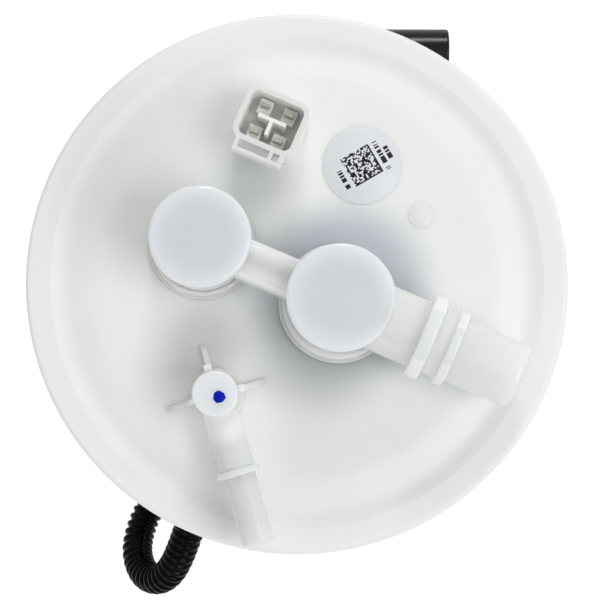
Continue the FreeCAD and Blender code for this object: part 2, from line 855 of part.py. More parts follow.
def make_feed_elbow():
    column = revolved("FeedColumn", [
        (0, S.panel_top),
        (S.foot_radius, S.panel_top),
        (S.foot_radius, S.panel_top + S.foot_thick, S.foot_round),
        (S.column_radius, S.panel_top + S.foot_thick, S.column_round),
        (S.column_radius, S.column_top - S.column_cap_thick),
        (S.column_cap_radius, S.column_top - S.column_cap_thick, S.foot_round),
        (S.column_cap_radius, S.column_top, S.column_round),
        (0, S.column_top),
    ])
    collar_end = S.feed_collar_start + S.feed_collar_thick
    tube = revolved("FeedTube", [
        (0, 0),
        (S.feed_neck, 0),
        (S.feed_neck, S.feed_collar_start),
        (S.feed_collar_radius, S.feed_collar_start, S.foot_round),
        (S.feed_collar_radius, collar_end, S.foot_round),
        (S.feed_tip_radius, collar_end),
        (S.feed_tip_radius, S.feed_end, S.feed_tip_round),
        (0, S.feed_end),
    ])
    move(lay_along(tube, "x"), z=S.feed_axis)
    fins = [wall(f"FeedFin{role[0]}", role, corners, S.fin_thick) for role, corners in feed_fins()]
    solid = fuse("FeedSolid", column, tube, *fins)
    upright_bore = cylinder("ColumnBore", S.column_bore, S.panel_top - PAST, S.feed_axis)
    along_bore = rod_along("FeedBore", "x", S.feed_bore, S.feed_end + PAST, z=S.feed_axis)
    elbow = cut("FeedElbow", solid, upright_bore, along_bore)
    keep("feed_elbow", move(elbow, S.feed_x, S.feed_y, turn=S.feed_turn))


def feed_fins():
    """Outlines of the bracing fins: one opposite the tube, and one to each side of it."""
    base = S.panel_top
    back = [
        (0, base),
        (-S.fin_rib_reach, base),
        (-S.fin_rib_reach, S.fin_rib_top - S.fin_chamfer),
        (-S.fin_reach, S.fin_rib_top),
        (-S.column_radius, S.fin_top),
        (0, S.fin_top),
    ]
    sides = [
        (-S.fin_rib_reach, base),
        (S.fin_rib_reach, base),
        (S.fin_rib_reach, S.fin_rib_top - S.fin_chamfer),
        (S.fin_reach, S.fin_rib_top),
        (S.column_radius, S.fin_top),
        (-S.column_radius, S.fin_top),
        (-S.fin_reach, S.fin_rib_top),
        (-S.fin_rib_reach, S.fin_rib_top - S.fin_chamfer),
    ]
    return (("XZ_Plane", back), ("YZ_Plane", sides))


def make_plug_socket():
    across, along = centred(S.plug_x, S.plug_wide), centred(S.plug_y, S.plug_deep)
    shroud = prism("PlugShroud", rectangle(across, along, S.plug_round), S.panel_top, S.plug_top)
    hollow_x = centred(S.plug_x, S.plug_wide - 2 * S.plug_wall)
    hollow_y = centred(S.plug_y, S.plug_deep - 2 * S.plug_wall)
    hollow = prism("PlugHollow", rectangle(hollow_x, hollow_y, S.plug_round - S.plug_wall),
                   S.panel_top + S.plug_floor, S.plug_top + PAST)
    cup = cut("PlugCup", shroud, hollow, *blade_slots("PlugSlot", S.panel_top - PAST, S.plug_top))
    height = (S.panel_top + PAST, S.key_top)
    key_bar = block("KeyBar", centred(S.plug_x, S.key_wide), (S.plug_y, S.plug_y + S.key_thick), height)
    stem_depth = (S.plug_y - S.key_stem, S.plug_y + S.key_thick / 2)
    key_stem = block("KeyStem", centred(S.plug_x, S.key_thick), stem_depth, height)
    keep("plug_socket", fuse("PlugSocket", cup, key_bar, key_stem, plug_latch(along[0])))


def plug_latch(side):
    """The bridge outside the long wall that the mating plug's latch snaps under, with two windows."""
    across = centred(S.plug_x, S.latch_wide)
    low = S.plug_top - S.latch_height
    frame = block("LatchBlock", across, (side - S.bridge_reach, side + S.plug_wall / 2), (low, S.plug_top))
    left = block("LatchWindowLeft", (across[0] + S.latch_wall, S.plug_x + S.latch_mid),
                 (side - S.bridge_reach + S.latch_wall, side), (low - PAST, S.plug_top + PAST))
    right = block("LatchWindowRight", (S.plug_x + S.latch_mid + S.latch_wall, across[1] - S.latch_wall),
                  (side - S.bridge_reach + S.latch_wall, side), (low - PAST, S.plug_top + PAST))
    return cut("PlugLatch", frame, left, right)


def make_blades():
    blades = []
    for number, (x, y) in enumerate(blade_places()):
        blades.append(block(f"Blade{number}", centred(x, S.blade_wide), centred(y, S.blade_thick),
                            (S.blade_low, S.blade_top)))
    keep("plug_blades", fuse("PlugBlades", *blades))


def make_rods():
    clip_top = S.sleeve_top - S.guide_length - S.clip_gap
    low = clip_top - S.clip_thick - S.rod_tail
    clips = []
    for side, (x, y) in zip(("right", "left"), rod_places()):
        rod = ring(f"GuideRod{side}", S.rod_radius - S.rod_wall, S.rod_radius, low, S.rod_top)
        keep(f"guide_rod_{side}", move(rod, x, y))
        clip = ring(f"RodClip{side}", S.rod_radius, S.clip_radius, clip_top - S.clip_thick, clip_top)
        clips.append(move(clip, x, y))
        spring = coil(f"GuideSpring{side}", S.spring_radius, S.spring_wire, S.sleeve_top + S.spring_gap,
                      S.rod_boss_low - S.spring_gap, S.spring_turns, x, y)
        keep(f"guide_spring_{side}", spring)
    keep("rod_clips", fuse("RodClips", *clips))


def make_valve(kind, x, depth):
    """A float valve that hangs under the flange: housing, bottom cap, float, seal disc and spring."""
    top, low = S.panel_under, -depth
    inner = S.valve_radius - S.valve_wall
    seat_low = top - S.valve_seat_thick
    housing = revolved(f"{kind}Housing", [
        (S.valve_orifice, seat_low),
        (inner, seat_low),
        (inner, low + S.valve_cap_thick),
        (S.valve_radius, low + S.valve_cap_thick),
        (S.valve_radius, top - S.valve_collar_thick),
        (S.valve_collar_radius, top - S.valve_collar_thick, S.valve_round),
        (S.valve_collar_radius, top),
        (S.valve_orifice, top),
    ])
    window_low = seat_low - 2 * S.valve_window
    windows = [
        block(f"{kind}Window{number}", *spans, (window_low - S.valve_window, window_low))
        for number, spans in enumerate((
            (centred(0, S.valve_window), centred(0, 3 * S.valve_radius)),
            (centred(0, 3 * S.valve_radius), centred(0, S.valve_window)),
        ))
    ]
    label = kind.lower()
    keep(f"{label}_valve_housing", move(cut(f"{kind}ValveHousing", housing, *windows), x, S.valve_y))
    post_top = low + S.valve_float_gap + S.float_pocket - S.post_seat_gap
    plate = revolved(f"{kind}Cap", [
        (0, low),
        (S.valve_radius, low, S.valve_round),
        (S.valve_radius, low + S.valve_cap_thick),
        (S.valve_cap_post, low + S.valve_cap_thick),
        (S.valve_cap_post, post_top),
        (0, post_top),
    ])
    slot_start, slot_end = S.valve_cap_post + PAST, inner - PAST
    slots = [
        block(f"{kind}CapSlot{number}", span, centred(0, S.valve_window),
              (low - PAST, low + S.valve_cap_thick + PAST))
        for number, span in enumerate(((slot_start, slot_end), (-slot_end, -slot_start)))
    ]
    keep(f"{label}_valve_cap", move(cut(f"{kind}ValveCap", plate, *slots), x, S.valve_y))
    float_low = low + S.valve_float_gap
    needle_tip = seat_low - S.valve_lift - S.needle_gap
    float_top = needle_tip - S.needle_length
    body = revolved(f"{kind}Float", [
        (S.valve_cap_post + S.post_gap, float_low),
        (S.valve_float_radius, float_low, S.valve_float_round),
        (S.valve_float_radius, float_top, S.valve_float_round),
        (S.needle_radius, float_top),
        (S.needle_tip_radius, needle_tip),
        (0, needle_tip),
        (0, float_low + S.float_pocket),
        (S.valve_cap_post + S.post_gap, float_low + S.float_pocket),
    ])
    keep(f"{label}_valve_float", move(body, x, S.valve_y))
    seal_low = float_top + S.seal_disc_low
    seal = ring(f"{kind}Seal", S.needle_radius + S.seal_disc_gap, 2 * S.needle_radius, seal_low,
                seal_low + S.seal_disc_thick)
    keep(f"{label}_valve_seal", move(seal, x, S.valve_y))
    spring = coil(f"{kind}Spring", S.valve_spring_radius, S.valve_spring_wire,
                  low + S.valve_cap_thick + S.valve_spring_gap, float_low - S.valve_spring_gap,
                  S.valve_spring_turns, x, S.valve_y)
    keep(f"{label}_valve_spring", spring)


def make_feed_hose():
    wire, radii = smooth_route(HOSE_ROUTE)
    outer, inner = (tube_along(wire, size.number) for size in (S.hose_outer, S.hose_inner))
    hose = shaped("FeedHose", outer.cut(inner))
    section = math.pi * (S.hose_outer.number ** 2 - S.hose_inner.number ** 2)
    print("hose length", round(wire.Length, 1), "radii", [round(radius, 1) for radius in radii])
    print("hose volume over section times length", round(hose.Shape.Volume / (section * wire.Length), 4))
    keep("feed_hose", hose)


def make_reservoir_cup():
    floor_top = S.cup_low + S.cup_floor
    inner = S.cup_inner
    shell = revolved("CupShell", [
        (0, S.cup_low),
        (S.cup_radius, S.cup_low, S.cup_round),
        (S.cup_radius, S.cup_top - S.cup_lip_height),
        (S.cup_radius + S.cup_lip, S.cup_top - S.cup_lip_height),
        (S.cup_radius + S.cup_lip, S.cup_top, S.collar_round),
        (inner, S.cup_top),
        (inner, floor_top, S.cup_round - S.cup_wall),
        (0, floor_top),
    ])
    solids, holes = [shell], []
    for side, (x, y) in zip(("Right", "Left"), rod_places()):
        low = S.sleeve_top - S.sleeve_length
        solids.append(cylinder(f"{side}Sleeve", S.sleeve_radius, low, S.sleeve_top, x, y))
        holes.append(cylinder(f"{side}Guide", S.rod_radius + S.guide_gap, low, S.sleeve_top + PAST, x, y))
        holes.append(cylinder(f"{side}SpringRoom", S.spring_radius + S.spring_wire + S.spring_gap,
                              S.sleeve_top, S.cup_top + PAST, x, y))
        holes.append(cylinder(f"{side}SleeveBore", S.sleeve_bore, low - PAST, S.sleeve_top - S.guide_length,
                              x, y))
    web = (S.rod_out, inner + S.cup_wall / 2)
    solids.extend(spokes("SleeveWeb", web, S.web_wide, S.sleeve_top - S.sleeve_length, S.sleeve_top,
                         as_length(len(rod_places())), S.rod_turn))
    for number, (x, y) in enumerate(((1, 1), (-1, 1), (-1, -1), (1, -1))):
        pad_x, pad_y = S.foot_pad_place * x, S.foot_pad_place * y
        solids.append(cylinder(f"FootPad{number}", S.foot_pad_radius, S.cup_low - S.foot_pad_height,
                               S.cup_low + PAST, pad_x, pad_y))
    span = (S.case_rib_inner, inner + S.cup_wall / 2)
    solids.extend(spokes("CaseRib", span, S.case_rib_thick, floor_top - PAST, S.case_low, S.case_rib_count,
                         S.case_rib_turn))
    rail = prism("SenderRail", rectangle((-S.rail_wide, 0), (inner + S.cup_wall / 2, S.rail_face)),
                 S.sender_low, S.sender_top)
    solids.append(move(rail, z=S.sender_low, turn=S.sender_turn))
    holes.append(cylinder("FootValveHole", S.valve_hole, S.cup_low - PAST, floor_top + PAST, S.foot_valve_x))
    keep("reservoir_cup", cut("ReservoirCup", fuse("CupSolids", *solids), *holes))


def make_filter():
    floor_top = S.case_low + S.case_wall
    tube_outer, inner = S.case_tube_outer, S.case_inner
    case = revolved("CaseShell", [
        (S.case_lip_radius, S.case_low),
        (S.case_radius, S.case_low, S.case_round),
        (S.case_radius, S.case_top),
        (inner, S.case_top),
        (inner, floor_top, S.panel_round),
        (tube_outer, floor_top, S.panel_round),
        (tube_outer, S.case_top - S.rim_drop),
        (S.case_tube_radius, S.case_top - S.rim_drop),
        (S.case_tube_radius, floor_top),
        (S.case_lip_radius, floor_top),
    ])
    socket_outer = S.regulator_radius + S.regulator_gap + S.socket_wall
    socket = cylinder("RegulatorSocket", socket_outer, S.case_low - S.socket_depth, S.case_low + PAST,
                      S.regulator_x, S.regulator_y)
    socket_bore = cylinder("RegulatorSocketBore", S.regulator_radius + S.regulator_gap,
                           S.case_low - S.socket_depth - PAST, S.case_low, S.regulator_x, S.regulator_y)
    port = cylinder("RegulatorPort", S.regulator_neck - S.jet_wall, S.case_low - PAST, floor_top + PAST,
                    S.regulator_x, S.regulator_y)
    keep("filter_case", cut("FilterCase", fuse("CaseSolid", case, socket), socket_bore, port))
    keep("filter_element", make_pleats(floor_top))
    cover_top = S.case_top + S.cover_thick
    cover = revolved("CoverPlate", [
        (0, S.case_top),
        (inner - S.cover_rim_thick, S.case_top),
        (inner - S.cover_rim_thick, S.case_top - S.rim_drop),
        (inner - S.pump_fit, S.case_top - S.rim_drop),
        (inner - S.pump_fit, S.case_top),
        (S.case_radius, S.case_top),
        (S.case_radius, cover_top, S.case_round),
        (S.dome_radius, cover_top),
        (S.dome_radius, cover_top + S.dome_height, S.case_round),
        (0, cover_top + S.dome_height),
    ])
    riser = cylinder("Riser", S.riser_radius, S.case_top + PAST, S.riser_top, S.riser_x, S.riser_y)
    shoulder = rod_along("OutletShoulder", "-y", S.nipple_shoulder, S.outlet_shoulder, S.riser_x, S.riser_y,
                         S.outlet_axis)
    nipple_reach = S.outlet_shoulder + S.nipple_length
    nipple = rod_along("OutletNipple", "-y", S.nipple_radius, nipple_reach, S.riser_x, S.riser_y,
                       S.outlet_axis)
    riser_bore = cylinder("RiserBore", S.nipple_bore, S.case_top - PAST, S.outlet_axis, S.riser_x, S.riser_y)
    nipple_bore = rod_along("OutletBore", "-y", S.nipple_bore, nipple_reach + PAST, S.riser_x, S.riser_y,
                            S.outlet_axis)
    solid = fuse("CoverSolid", cover, riser, shoulder, nipple)
    keep("filter_cover", cut("FilterCover", solid, riser_bore, nipple_bore))
    make_pump_plug(cover_top)


def make_pump_plug(low):
    """The small socket on the filter's cover that feeds the pump motor."""
    top = low + S.pump_plug_height
    across, along = (centred(S.pump_plug_x, S.pump_plug_wide), centred(S.pump_plug_y, S.pump_plug_deep))
    shroud = prism("PumpPlug", rectangle(across, along, S.pump_plug_round), low, top)
    inside = [(span[0] + S.pump_plug_wall, span[1] - S.pump_plug_wall) for span in (across, along)]
    hollow = prism("PumpPlugHollow", rectangle(*inside), low + S.pump_plug_floor, top + PAST)
    keep("pump_plug", cut("PumpPlugSocket", shroud, hollow))


def make_pleats(floor_top):
    """The folded paper ring: a zigzag wall between the case's two walls."""
    count = int(S.pleat_count.number)
    outer, inner, thick = S.pleat_outer.number, S.pleat_inner.number, S.pleat_thick.number
    low = floor_top.number + S.pleat_gap.number
    high = S.case_top.number - S.rim_drop.number - S.pleat_gap.number
    loops = []
    for shift in (0.0, -thick):
        corners = []
        for number in range(2 * count):
            radius = (outer if number % 2 else inner + thick) + shift
            angle = math.pi * number / count
            corners.append(V(radius * math.cos(angle), radius * math.sin(angle), low))
        loops.append(Part.Wire(Part.makePolygon(corners + corners[:1])))
    return shaped("FilterElement", Part.Face(loops[0]).cut(Part.Face(loops[1])).extrude(V(0, 0, high - low)))


def make_pump_case():
    fit = S.pump_inner
    keep("pump_can", ring("PumpCan", S.can_inner, S.can_radius, S.can_low, S.can_top))
    inlet = revolved("InletCover", [
        (S.shaft_radius + S.shaft_gap, S.inlet_top),
        (S.shaft_radius + S.shaft_gap, S.inlet_top - S.bearing_depth),
        (0, S.inlet_top - S.bearing_depth),
        (0, S.pump_low),
        (S.can_radius, S.pump_low, S.pump_round),
        (S.can_radius, S.can_low),
        (fit, S.can_low),
        (fit, S.inlet_top),
    ])
    stub = cylinder("InletStub", S.inlet_radius, S.inlet_low, S.pump_low + PAST, S.inlet_x)
    stub_bore = cylinder("InletBore", S.inlet_bore, S.inlet_low - PAST, S.inlet_top + PAST, S.inlet_x)
    keep("pump_inlet_cover", cut("PumpInletCover", fuse("InletSolid", inlet, stub), stub_bore))
    plate_low = S.inlet_top + S.impeller_thick + 2 * S.impeller_gap
    keep("pump_middle_plate", revolved("MiddlePlate", [
        (S.shaft_radius + S.shaft_gap, plate_low),
        (fit - S.plate_rim, plate_low),
        (fit - S.plate_rim, S.inlet_top),
        (fit, S.inlet_top),
        (fit, plate_low + S.plate_thick),
        (S.shaft_radius + S.shaft_gap, plate_low + S.plate_thick),
    ]))
    magnet_low, magnet_high = S.armature_low - S.magnet_past, S.armature_top + S.magnet_past
    shell = ring("MagnetShell", S.magnet_inner, fit, magnet_low, magnet_high)
    gap = block("MagnetGap", centred(0, 3 * S.can_radius), centred(0, S.magnet_gap),
                (magnet_low - PAST, magnet_high + PAST))
    keep("pump_magnets", cut("PumpMagnets", shell, gap))
    cap = revolved("OutletCap", [
        (S.shaft_radius + S.shaft_gap, S.outlet_cap_low),
        (fit, S.outlet_cap_low),
        (fit, S.can_top),
        (S.can_radius, S.can_top),
        (S.can_radius, S.outlet_cap_top, S.pump_round),
        (0, S.outlet_cap_top),
        (0, S.outlet_cap_low + S.bearing_depth),
        (S.shaft_radius + S.shaft_gap, S.outlet_cap_low + S.bearing_depth),
    ])
    port = cylinder("OutletPort", S.inlet_bore, S.outlet_cap_low - PAST, S.outlet_cap_top + PAST,
                    0, S.outlet_y)
    keep("pump_outlet_cap", cut("PumpOutletCap", cap, port))
    brushes = [
        block(f"Brush{number}", centred(S.brush_place * side, S.brush_side), centred(0, S.brush_side),
              (S.commutator_top + S.brush_gap, S.brush_top))
        for number, side in enumerate((-1, 1))
    ]
    keep("pump_brushes", fuse("PumpBrushes", *brushes))
    cushion_outer = S.can_radius - S.cushion_step
    keep("pump_cushion", ring("PumpCushion", S.cushion_inner, cushion_outer, S.outlet_cap_top, S.case_top))
    keep("pump_sleeve", ring("PumpSleeve", S.can_radius + S.pump_fit, S.case_tube_radius - S.pump_fit,
                             S.can_low + S.sleeve_fit_low, S.can_low + S.sleeve_fit_high))


def make_pump_rotor():
    shaft_low = S.inlet_top - S.bearing_depth + S.shaft_end_gap
    shaft_top = S.outlet_cap_low + S.bearing_depth - S.shaft_end_gap
    keep("pump_shaft", cylinder("PumpShaft", S.shaft_radius, shaft_low, shaft_top))
    impeller = document.addObject("PartDesign::Body", "Impeller")
    disc = impeller.newObject("PartDesign::Pad", "ImpellerDisc")
    disc.Profile = disc_sketch(impeller, S.impeller_radius, S.shaft_radius)
    bind(disc, Length=S.impeller_thick)
    document.recompute()
    slot = impeller.newObject("PartDesign::Pocket", "VaneSlot")
    rim = S.impeller_radius + PAST
    slot.Profile = outline(impeller, "XY_Plane",
                           rectangle((S.impeller_radius - S.vane_depth, rim), centred(0, S.vane_slot)))
    slot.Reversed = True
    bind(slot, Length=S.impeller_thick)
    vanes = impeller.newObject("PartDesign::PolarPattern", "Vanes")
    vanes.Originals = [slot]
    vanes.Axis = (slot.Profile[0], ["N_Axis"])
    vanes.Angle = 360
    vanes.Occurrences = int(S.vane_count.number)
    impeller.Tip = vanes
    keep("pump_impeller", move(impeller, z=S.inlet_top + S.impeller_gap))
    stack = ring("LaminationStack", S.shaft_radius, S.armature_radius, S.armature_low, S.armature_top)
    slots = spokes("WindingSlot", (S.armature_radius - S.armature_slot_depth, S.armature_radius + PAST),
                   S.armature_slot_wide, S.armature_low - PAST, S.armature_top + PAST, S.armature_slots)
    keep("pump_armature", cut("PumpArmature", stack, *slots))
    keep("pump_commutator", ring("PumpCommutator", S.shaft_radius, S.commutator_radius, S.commutator_low,
                                 S.commutator_top))


def disc_sketch(body, outer, inner):
    """Two circles about the body's axis."""
    plane = next(f for f in body.Origin.OriginFeatures if f.Role == "XY_Plane")
    sketch = body.newObject("Sketcher::SketchObject", f"{body.Name}Disc")
    sketch.AttachmentSupport = (plane, [""])
    sketch.MapMode = "FlatFace"
    for index, radius in enumerate((outer, inner)):
        sketch.addGeometry(Part.Circle(V(0, 0, 0), V(0, 0, 1), radius.number), False)
        sketch.addConstraint(Sketcher.Constraint("Coincident", index, 3, -1, 1))
        tie(sketch, Sketcher.Constraint("Radius", index, radius.number), radius)
    return sketch


def make_inlet_side():
    sock = prism("Sock", rectangle(centred(0, S.sock_wide), centred(0, S.sock_long), S.sock_round),
                 S.sock_low, S.sock_top)
    keep("inlet_strainer", sock)
    neck = ring("StrainerNeck", S.inlet_radius + S.pump_fit, S.neck_radius, S.sock_top,
                S.inlet_low + S.neck_overlap)
    keep("strainer_neck", move(neck, S.inlet_x))
    body_top = S.case_low - S.regulator_top_drop
    regulator = revolved("Regulator", [
        (0, S.regulator_low),
        (S.regulator_tip_radius, S.regulator_low),
        (S.regulator_tip_radius, S.regulator_low + S.regulator_tip),
        (S.regulator_radius, S.regulator_low + S.regulator_cone, S.pump_round),
        (S.regulator_radius, body_top, S.pump_round),
        (S.regulator_neck, body_top),
        (S.regulator_neck, S.case_low - S.regulator_gap),
        (0, S.case_low - S.regulator_gap),
    ])
    keep("pressure_regulator", move(regulator, S.regulator_x, S.regulator_y))
    clip_top = S.case_low - S.socket_depth - S.regulator_gap
    clip_low = clip_top - S.regulator_clip_thick
    clip_reach = S.regulator_radius + S.regulator_gap + S.socket_wall + S.regulator_clip_reach
    clip = ring("RegulatorClipRing", S.regulator_radius + S.pump_fit, clip_reach, clip_low, clip_top)
    gap = block("RegulatorClipGap", (0, 2 * S.regulator_radius), centred(0, S.regulator_clip_gap),
                (clip_low - PAST, clip_top + PAST))
    keep("regulator_clip", move(cut("RegulatorClip", clip, gap), S.regulator_x, S.regulator_y))
    seal = document.addObject("Part::Torus", "RegulatorSeal")
    ring_radius = (S.regulator_neck + S.regulator_radius) / 2 - S.regulator_seal_wire
    bind(seal, Radius1=ring_radius, Radius2=S.regulator_seal_wire)
    keep("regulator_seal", move(seal, S.regulator_x, S.regulator_y, S.case_low - S.regulator_top_drop / 2))
    make_jet_pump()
    make_foot_valve()


def make_jet_pump():
    """The venturi tube that draws fuel into the cup, on its stand."""
    jet = revolved("JetTube", [
        (S.jet_bore, 0),
        (S.jet_radius, 0),
        (S.jet_radius, S.jet_inlet),
        (S.jet_radius - S.jet_wall, S.jet_inlet + S.jet_taper),
        (S.jet_radius - S.jet_wall, S.jet_length - S.jet_taper),
        (S.jet_radius, S.jet_length),
        (S.jet_mouth, S.jet_length),
        (S.jet_throat, S.jet_length - S.jet_flare),
        (S.jet_throat, S.jet_throat_start),
    ])
    move(lay_along(jet, "x"), -S.jet_length / 2, S.jet_y, S.jet_axis)
    stand_start = PAST - S.jet_length / 2
    stand = block("JetStand", (stand_start, stand_start + S.jet_stand_long),
                  centred(S.jet_y, S.jet_stand_wide),
                  (S.cup_low + S.cup_floor, S.jet_axis - S.jet_stand_bite))
    keep("jet_pump", fuse("JetPump", jet, stand))


def make_foot_valve():
    """The check valve over the hole in the cup's floor: a loose disc under a caged rim."""
    floor_top = S.cup_low + S.cup_floor
    cage_top = floor_top + S.foot_cage_height
    cage_inner = S.foot_disc_radius + S.foot_cage_gap
    mouth = S.foot_disc_radius - S.foot_cage_lip
    cage = revolved("FootCage", [
        (cage_inner, floor_top),
        (S.foot_cage_radius, floor_top),
        (S.foot_cage_radius, cage_top, S.collar_round),
        (mouth, cage_top),
        (mouth, cage_top - S.foot_cage_thick),
        (cage_inner, cage_top - S.foot_cage_thick),
    ])
    keep("foot_valve_cage", move(cage, S.foot_valve_x))
    disc_low = floor_top + S.foot_disc_gap
    disc = cylinder("FootDisc", S.foot_disc_radius, disc_low, disc_low + S.foot_disc_thick, S.foot_valve_x)
    keep("foot_valve_disc", disc)


def make_sender():
    """The level sender: local X runs along the pivot, local Y away from the cup."""
    housing = prism("SenderHousing", rectangle((S.rail_edge - S.rail_wide, 0), (S.rail_face, S.sender_face),
                                               S.sender_round),
                    S.sender_low + S.rail_edge, S.sender_top - S.rail_edge)
    pin = rod_along("SenderPin", "x", S.pin_radius, S.hub_start + S.hub_thick + S.pin_root + S.pin_past,
                    -S.pin_root, S.pivot_out, S.pivot_level)
    keep("sender_housing", turned_group(fuse("SenderHousingPin", housing, pin)))
    card = block("SenderCard", (0, S.card_thick), (S.rail_face + S.card_edge, S.sender_face - S.card_edge),
                 (S.sender_low + S.card_low, S.pivot_level - S.card_drop))
    keep("sender_card", turned_group(card))
    hub = revolved("Hub", [
        (S.pin_radius + S.pin_gap, 0),
        (S.hub_radius, 0, S.collar_round),
        (S.hub_radius, S.hub_thick, S.collar_round),
        (S.pin_radius + S.pin_gap, S.hub_thick),
    ])
    move(lay_along(hub, "x"), S.hub_start, S.pivot_out, S.pivot_level)
    wire, socket = sender_wire()
    keep("sender_hub", turned_group(cut("SenderHub", hub, socket)))
    keep("sender_wire", turned_group(wire))
    wiper_start = S.card_thick + S.wiper_gap
    wiper_top = S.pivot_level - S.wiper_drop
    wiper = block("SenderWiper", (wiper_start, wiper_start + S.wiper_thick),
                  centred(S.pivot_out + S.wiper_out, S.wiper_wide), (wiper_top - S.wiper_long, wiper_top))
    keep("sender_wiper", turned_group(wiper))
    shell = revolved("FloatShell", [
        (S.wire_radius + S.wire_gap, 0),
        (S.float_radius, 0, S.float_round),
        (S.float_radius, S.float_end - S.float_start, S.float_round),
        (0, S.float_end - S.float_start),
        (0, S.float_end - S.float_start - S.float_bore_rest),
        (S.wire_radius + S.wire_gap, S.float_end - S.float_start - S.float_bore_rest),
    ])
    move(lay_along(shell, "x"), S.float_start, S.float_out, S.float_level)
    keep("sender_float", turned_group(shell))


def turned_group(item):
    """Turns a finished sender piece, built in the sender's own directions, about the module's axis."""
    group = document.addObject("Part::Compound", f"{item.Name}Turned")
    group.Links = [item]
    return move(group, turn=S.sender_turn)


def sender_wire():
    """The bent wire arm, and the drilled seat for it in the hub."""
    radius = S.wire_radius.number
    plane = S.hub_start.number + S.hub_thick.number / 2
    pivot = V(plane, S.pivot_out.number, S.pivot_level.number)
    bend = V(plane, S.float_out.number, S.float_level.number)
    arm = (bend - pivot).normalize()
    start = pivot + arm * (S.pin_radius.number + S.wire_seat_wall.number)
    end = V(S.float_end.number - S.float_bore_rest.number - S.wire_end_gap.number, bend.y, bend.z)
    bend_radius = S.wire_bend.number
    before, after = bend - arm * bend_radius, bend + V(bend_radius, 0, 0)
    centre = before + V(bend_radius, 0, 0)
    middle = centre + (bend - centre).normalize() * bend_radius
    path = Part.Wire([
        Part.LineSegment(start, before).toShape(),
        Part.Arc(before, middle, after).toShape(),
        Part.LineSegment(after, end).toShape(),
    ])
    seat = Part.makeCylinder(radius, S.hub_radius.number, start, arm)
    return shaped("SenderWire", tube_along(path, radius)), shaped("SenderWireSeat", seat)


def check_document():
    """Every object has to be computed, and every piece a valid closed solid."""
    document.recompute()
    failed = [o.Name for o in document.Objects if {"Invalid", "Error"} & set(o.State)]
    if failed:
        raise RuntimeError(f"these objects failed: {failed}")
    for label, item in nodes.items():
        shape = item.Shape
        if shape.isNull() or not shape.isValid() or not shape.Solids:
            raise RuntimeError(f"{label} has no valid solid")


def write_parts():
    os.makedirs(PARTS_FOLDER, exist_ok=True)
    for label, item in nodes.items():
        item.Shape.exportStep(os.path.join(PARTS_FOLDER, f"{label}.step"))
    print(len(nodes), "pieces written")


fill_sheet()
make_flange()
make_tank_seal()
make_vent_manifold()
make_feed_elbow()
make_plug_socket()
make_blades()
make_rods()
make_valve("Fill", S.fill_x, S.fill_depth)
make_valve("Roll", S.vent_x, S.roll_depth)
make_feed_hose()
make_reservoir_cup()
make_filter()
make_pump_case()
make_pump_rotor()
make_inlet_side()
make_sender()
check_document()
write_parts()
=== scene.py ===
"""Looks of a fuel pump module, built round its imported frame.

All lengths are metres in the frame's own directions: +Z is up, +X runs along the vent spigot, and the origin lies
on the flange's axis at the underside of its rim.
"""
from __future__ import annotations

import json
import logging
import math
from dataclasses import dataclass
from enum import Enum
from typing import Callable, Iterable, Sequence, Union

import bmesh
import bpy
from mathutils import Matrix, Vector


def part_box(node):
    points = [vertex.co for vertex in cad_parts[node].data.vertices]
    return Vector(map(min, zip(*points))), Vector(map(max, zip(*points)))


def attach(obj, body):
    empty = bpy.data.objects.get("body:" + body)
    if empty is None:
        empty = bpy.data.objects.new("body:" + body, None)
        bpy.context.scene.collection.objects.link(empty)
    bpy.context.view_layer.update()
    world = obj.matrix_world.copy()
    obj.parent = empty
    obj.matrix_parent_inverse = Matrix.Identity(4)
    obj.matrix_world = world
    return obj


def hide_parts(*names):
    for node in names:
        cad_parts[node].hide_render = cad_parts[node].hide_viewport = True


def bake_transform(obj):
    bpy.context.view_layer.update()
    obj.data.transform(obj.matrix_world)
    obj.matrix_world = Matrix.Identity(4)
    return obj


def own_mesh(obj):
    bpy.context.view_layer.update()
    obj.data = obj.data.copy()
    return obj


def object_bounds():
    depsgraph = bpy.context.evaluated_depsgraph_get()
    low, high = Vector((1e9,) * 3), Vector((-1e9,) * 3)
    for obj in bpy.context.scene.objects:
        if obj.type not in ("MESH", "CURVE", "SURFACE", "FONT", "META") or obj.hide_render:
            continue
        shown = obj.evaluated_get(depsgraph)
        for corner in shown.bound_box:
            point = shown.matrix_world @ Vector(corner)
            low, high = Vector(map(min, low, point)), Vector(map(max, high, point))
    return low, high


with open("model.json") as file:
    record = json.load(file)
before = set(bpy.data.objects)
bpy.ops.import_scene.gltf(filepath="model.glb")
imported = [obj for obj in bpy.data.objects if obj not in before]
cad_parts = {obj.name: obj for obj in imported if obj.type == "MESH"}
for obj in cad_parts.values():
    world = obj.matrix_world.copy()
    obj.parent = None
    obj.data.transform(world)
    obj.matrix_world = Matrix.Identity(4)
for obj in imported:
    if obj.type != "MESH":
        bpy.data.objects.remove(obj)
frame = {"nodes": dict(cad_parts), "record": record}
cad_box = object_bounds()

LOG = logging.getLogger("fuel_pump_module")
MM = 0.001
FULL_TURN = 2 * math.pi
# The photograph's upright direction is turned by this angle from the frame's +Y
PHOTO_TURN = math.radians(23.3)
# Height of the flange's flat panel
PANEL = 0.005
# Corners of every ring that goes round a turned piece or the strainer
AROUND = 96
# Signs of a rectangle's corners, in order round it
QUARTERS = ((-1, -1), (1, -1), (1, 1), (-1, 1))

Socket = bpy.types.NodeSocket
Value = Union[float, int, bool, Sequence[float], Socket, "Sum", bpy.types.Material]
Colour = tuple[float, float, float, float]
Point = tuple[float, float, float]


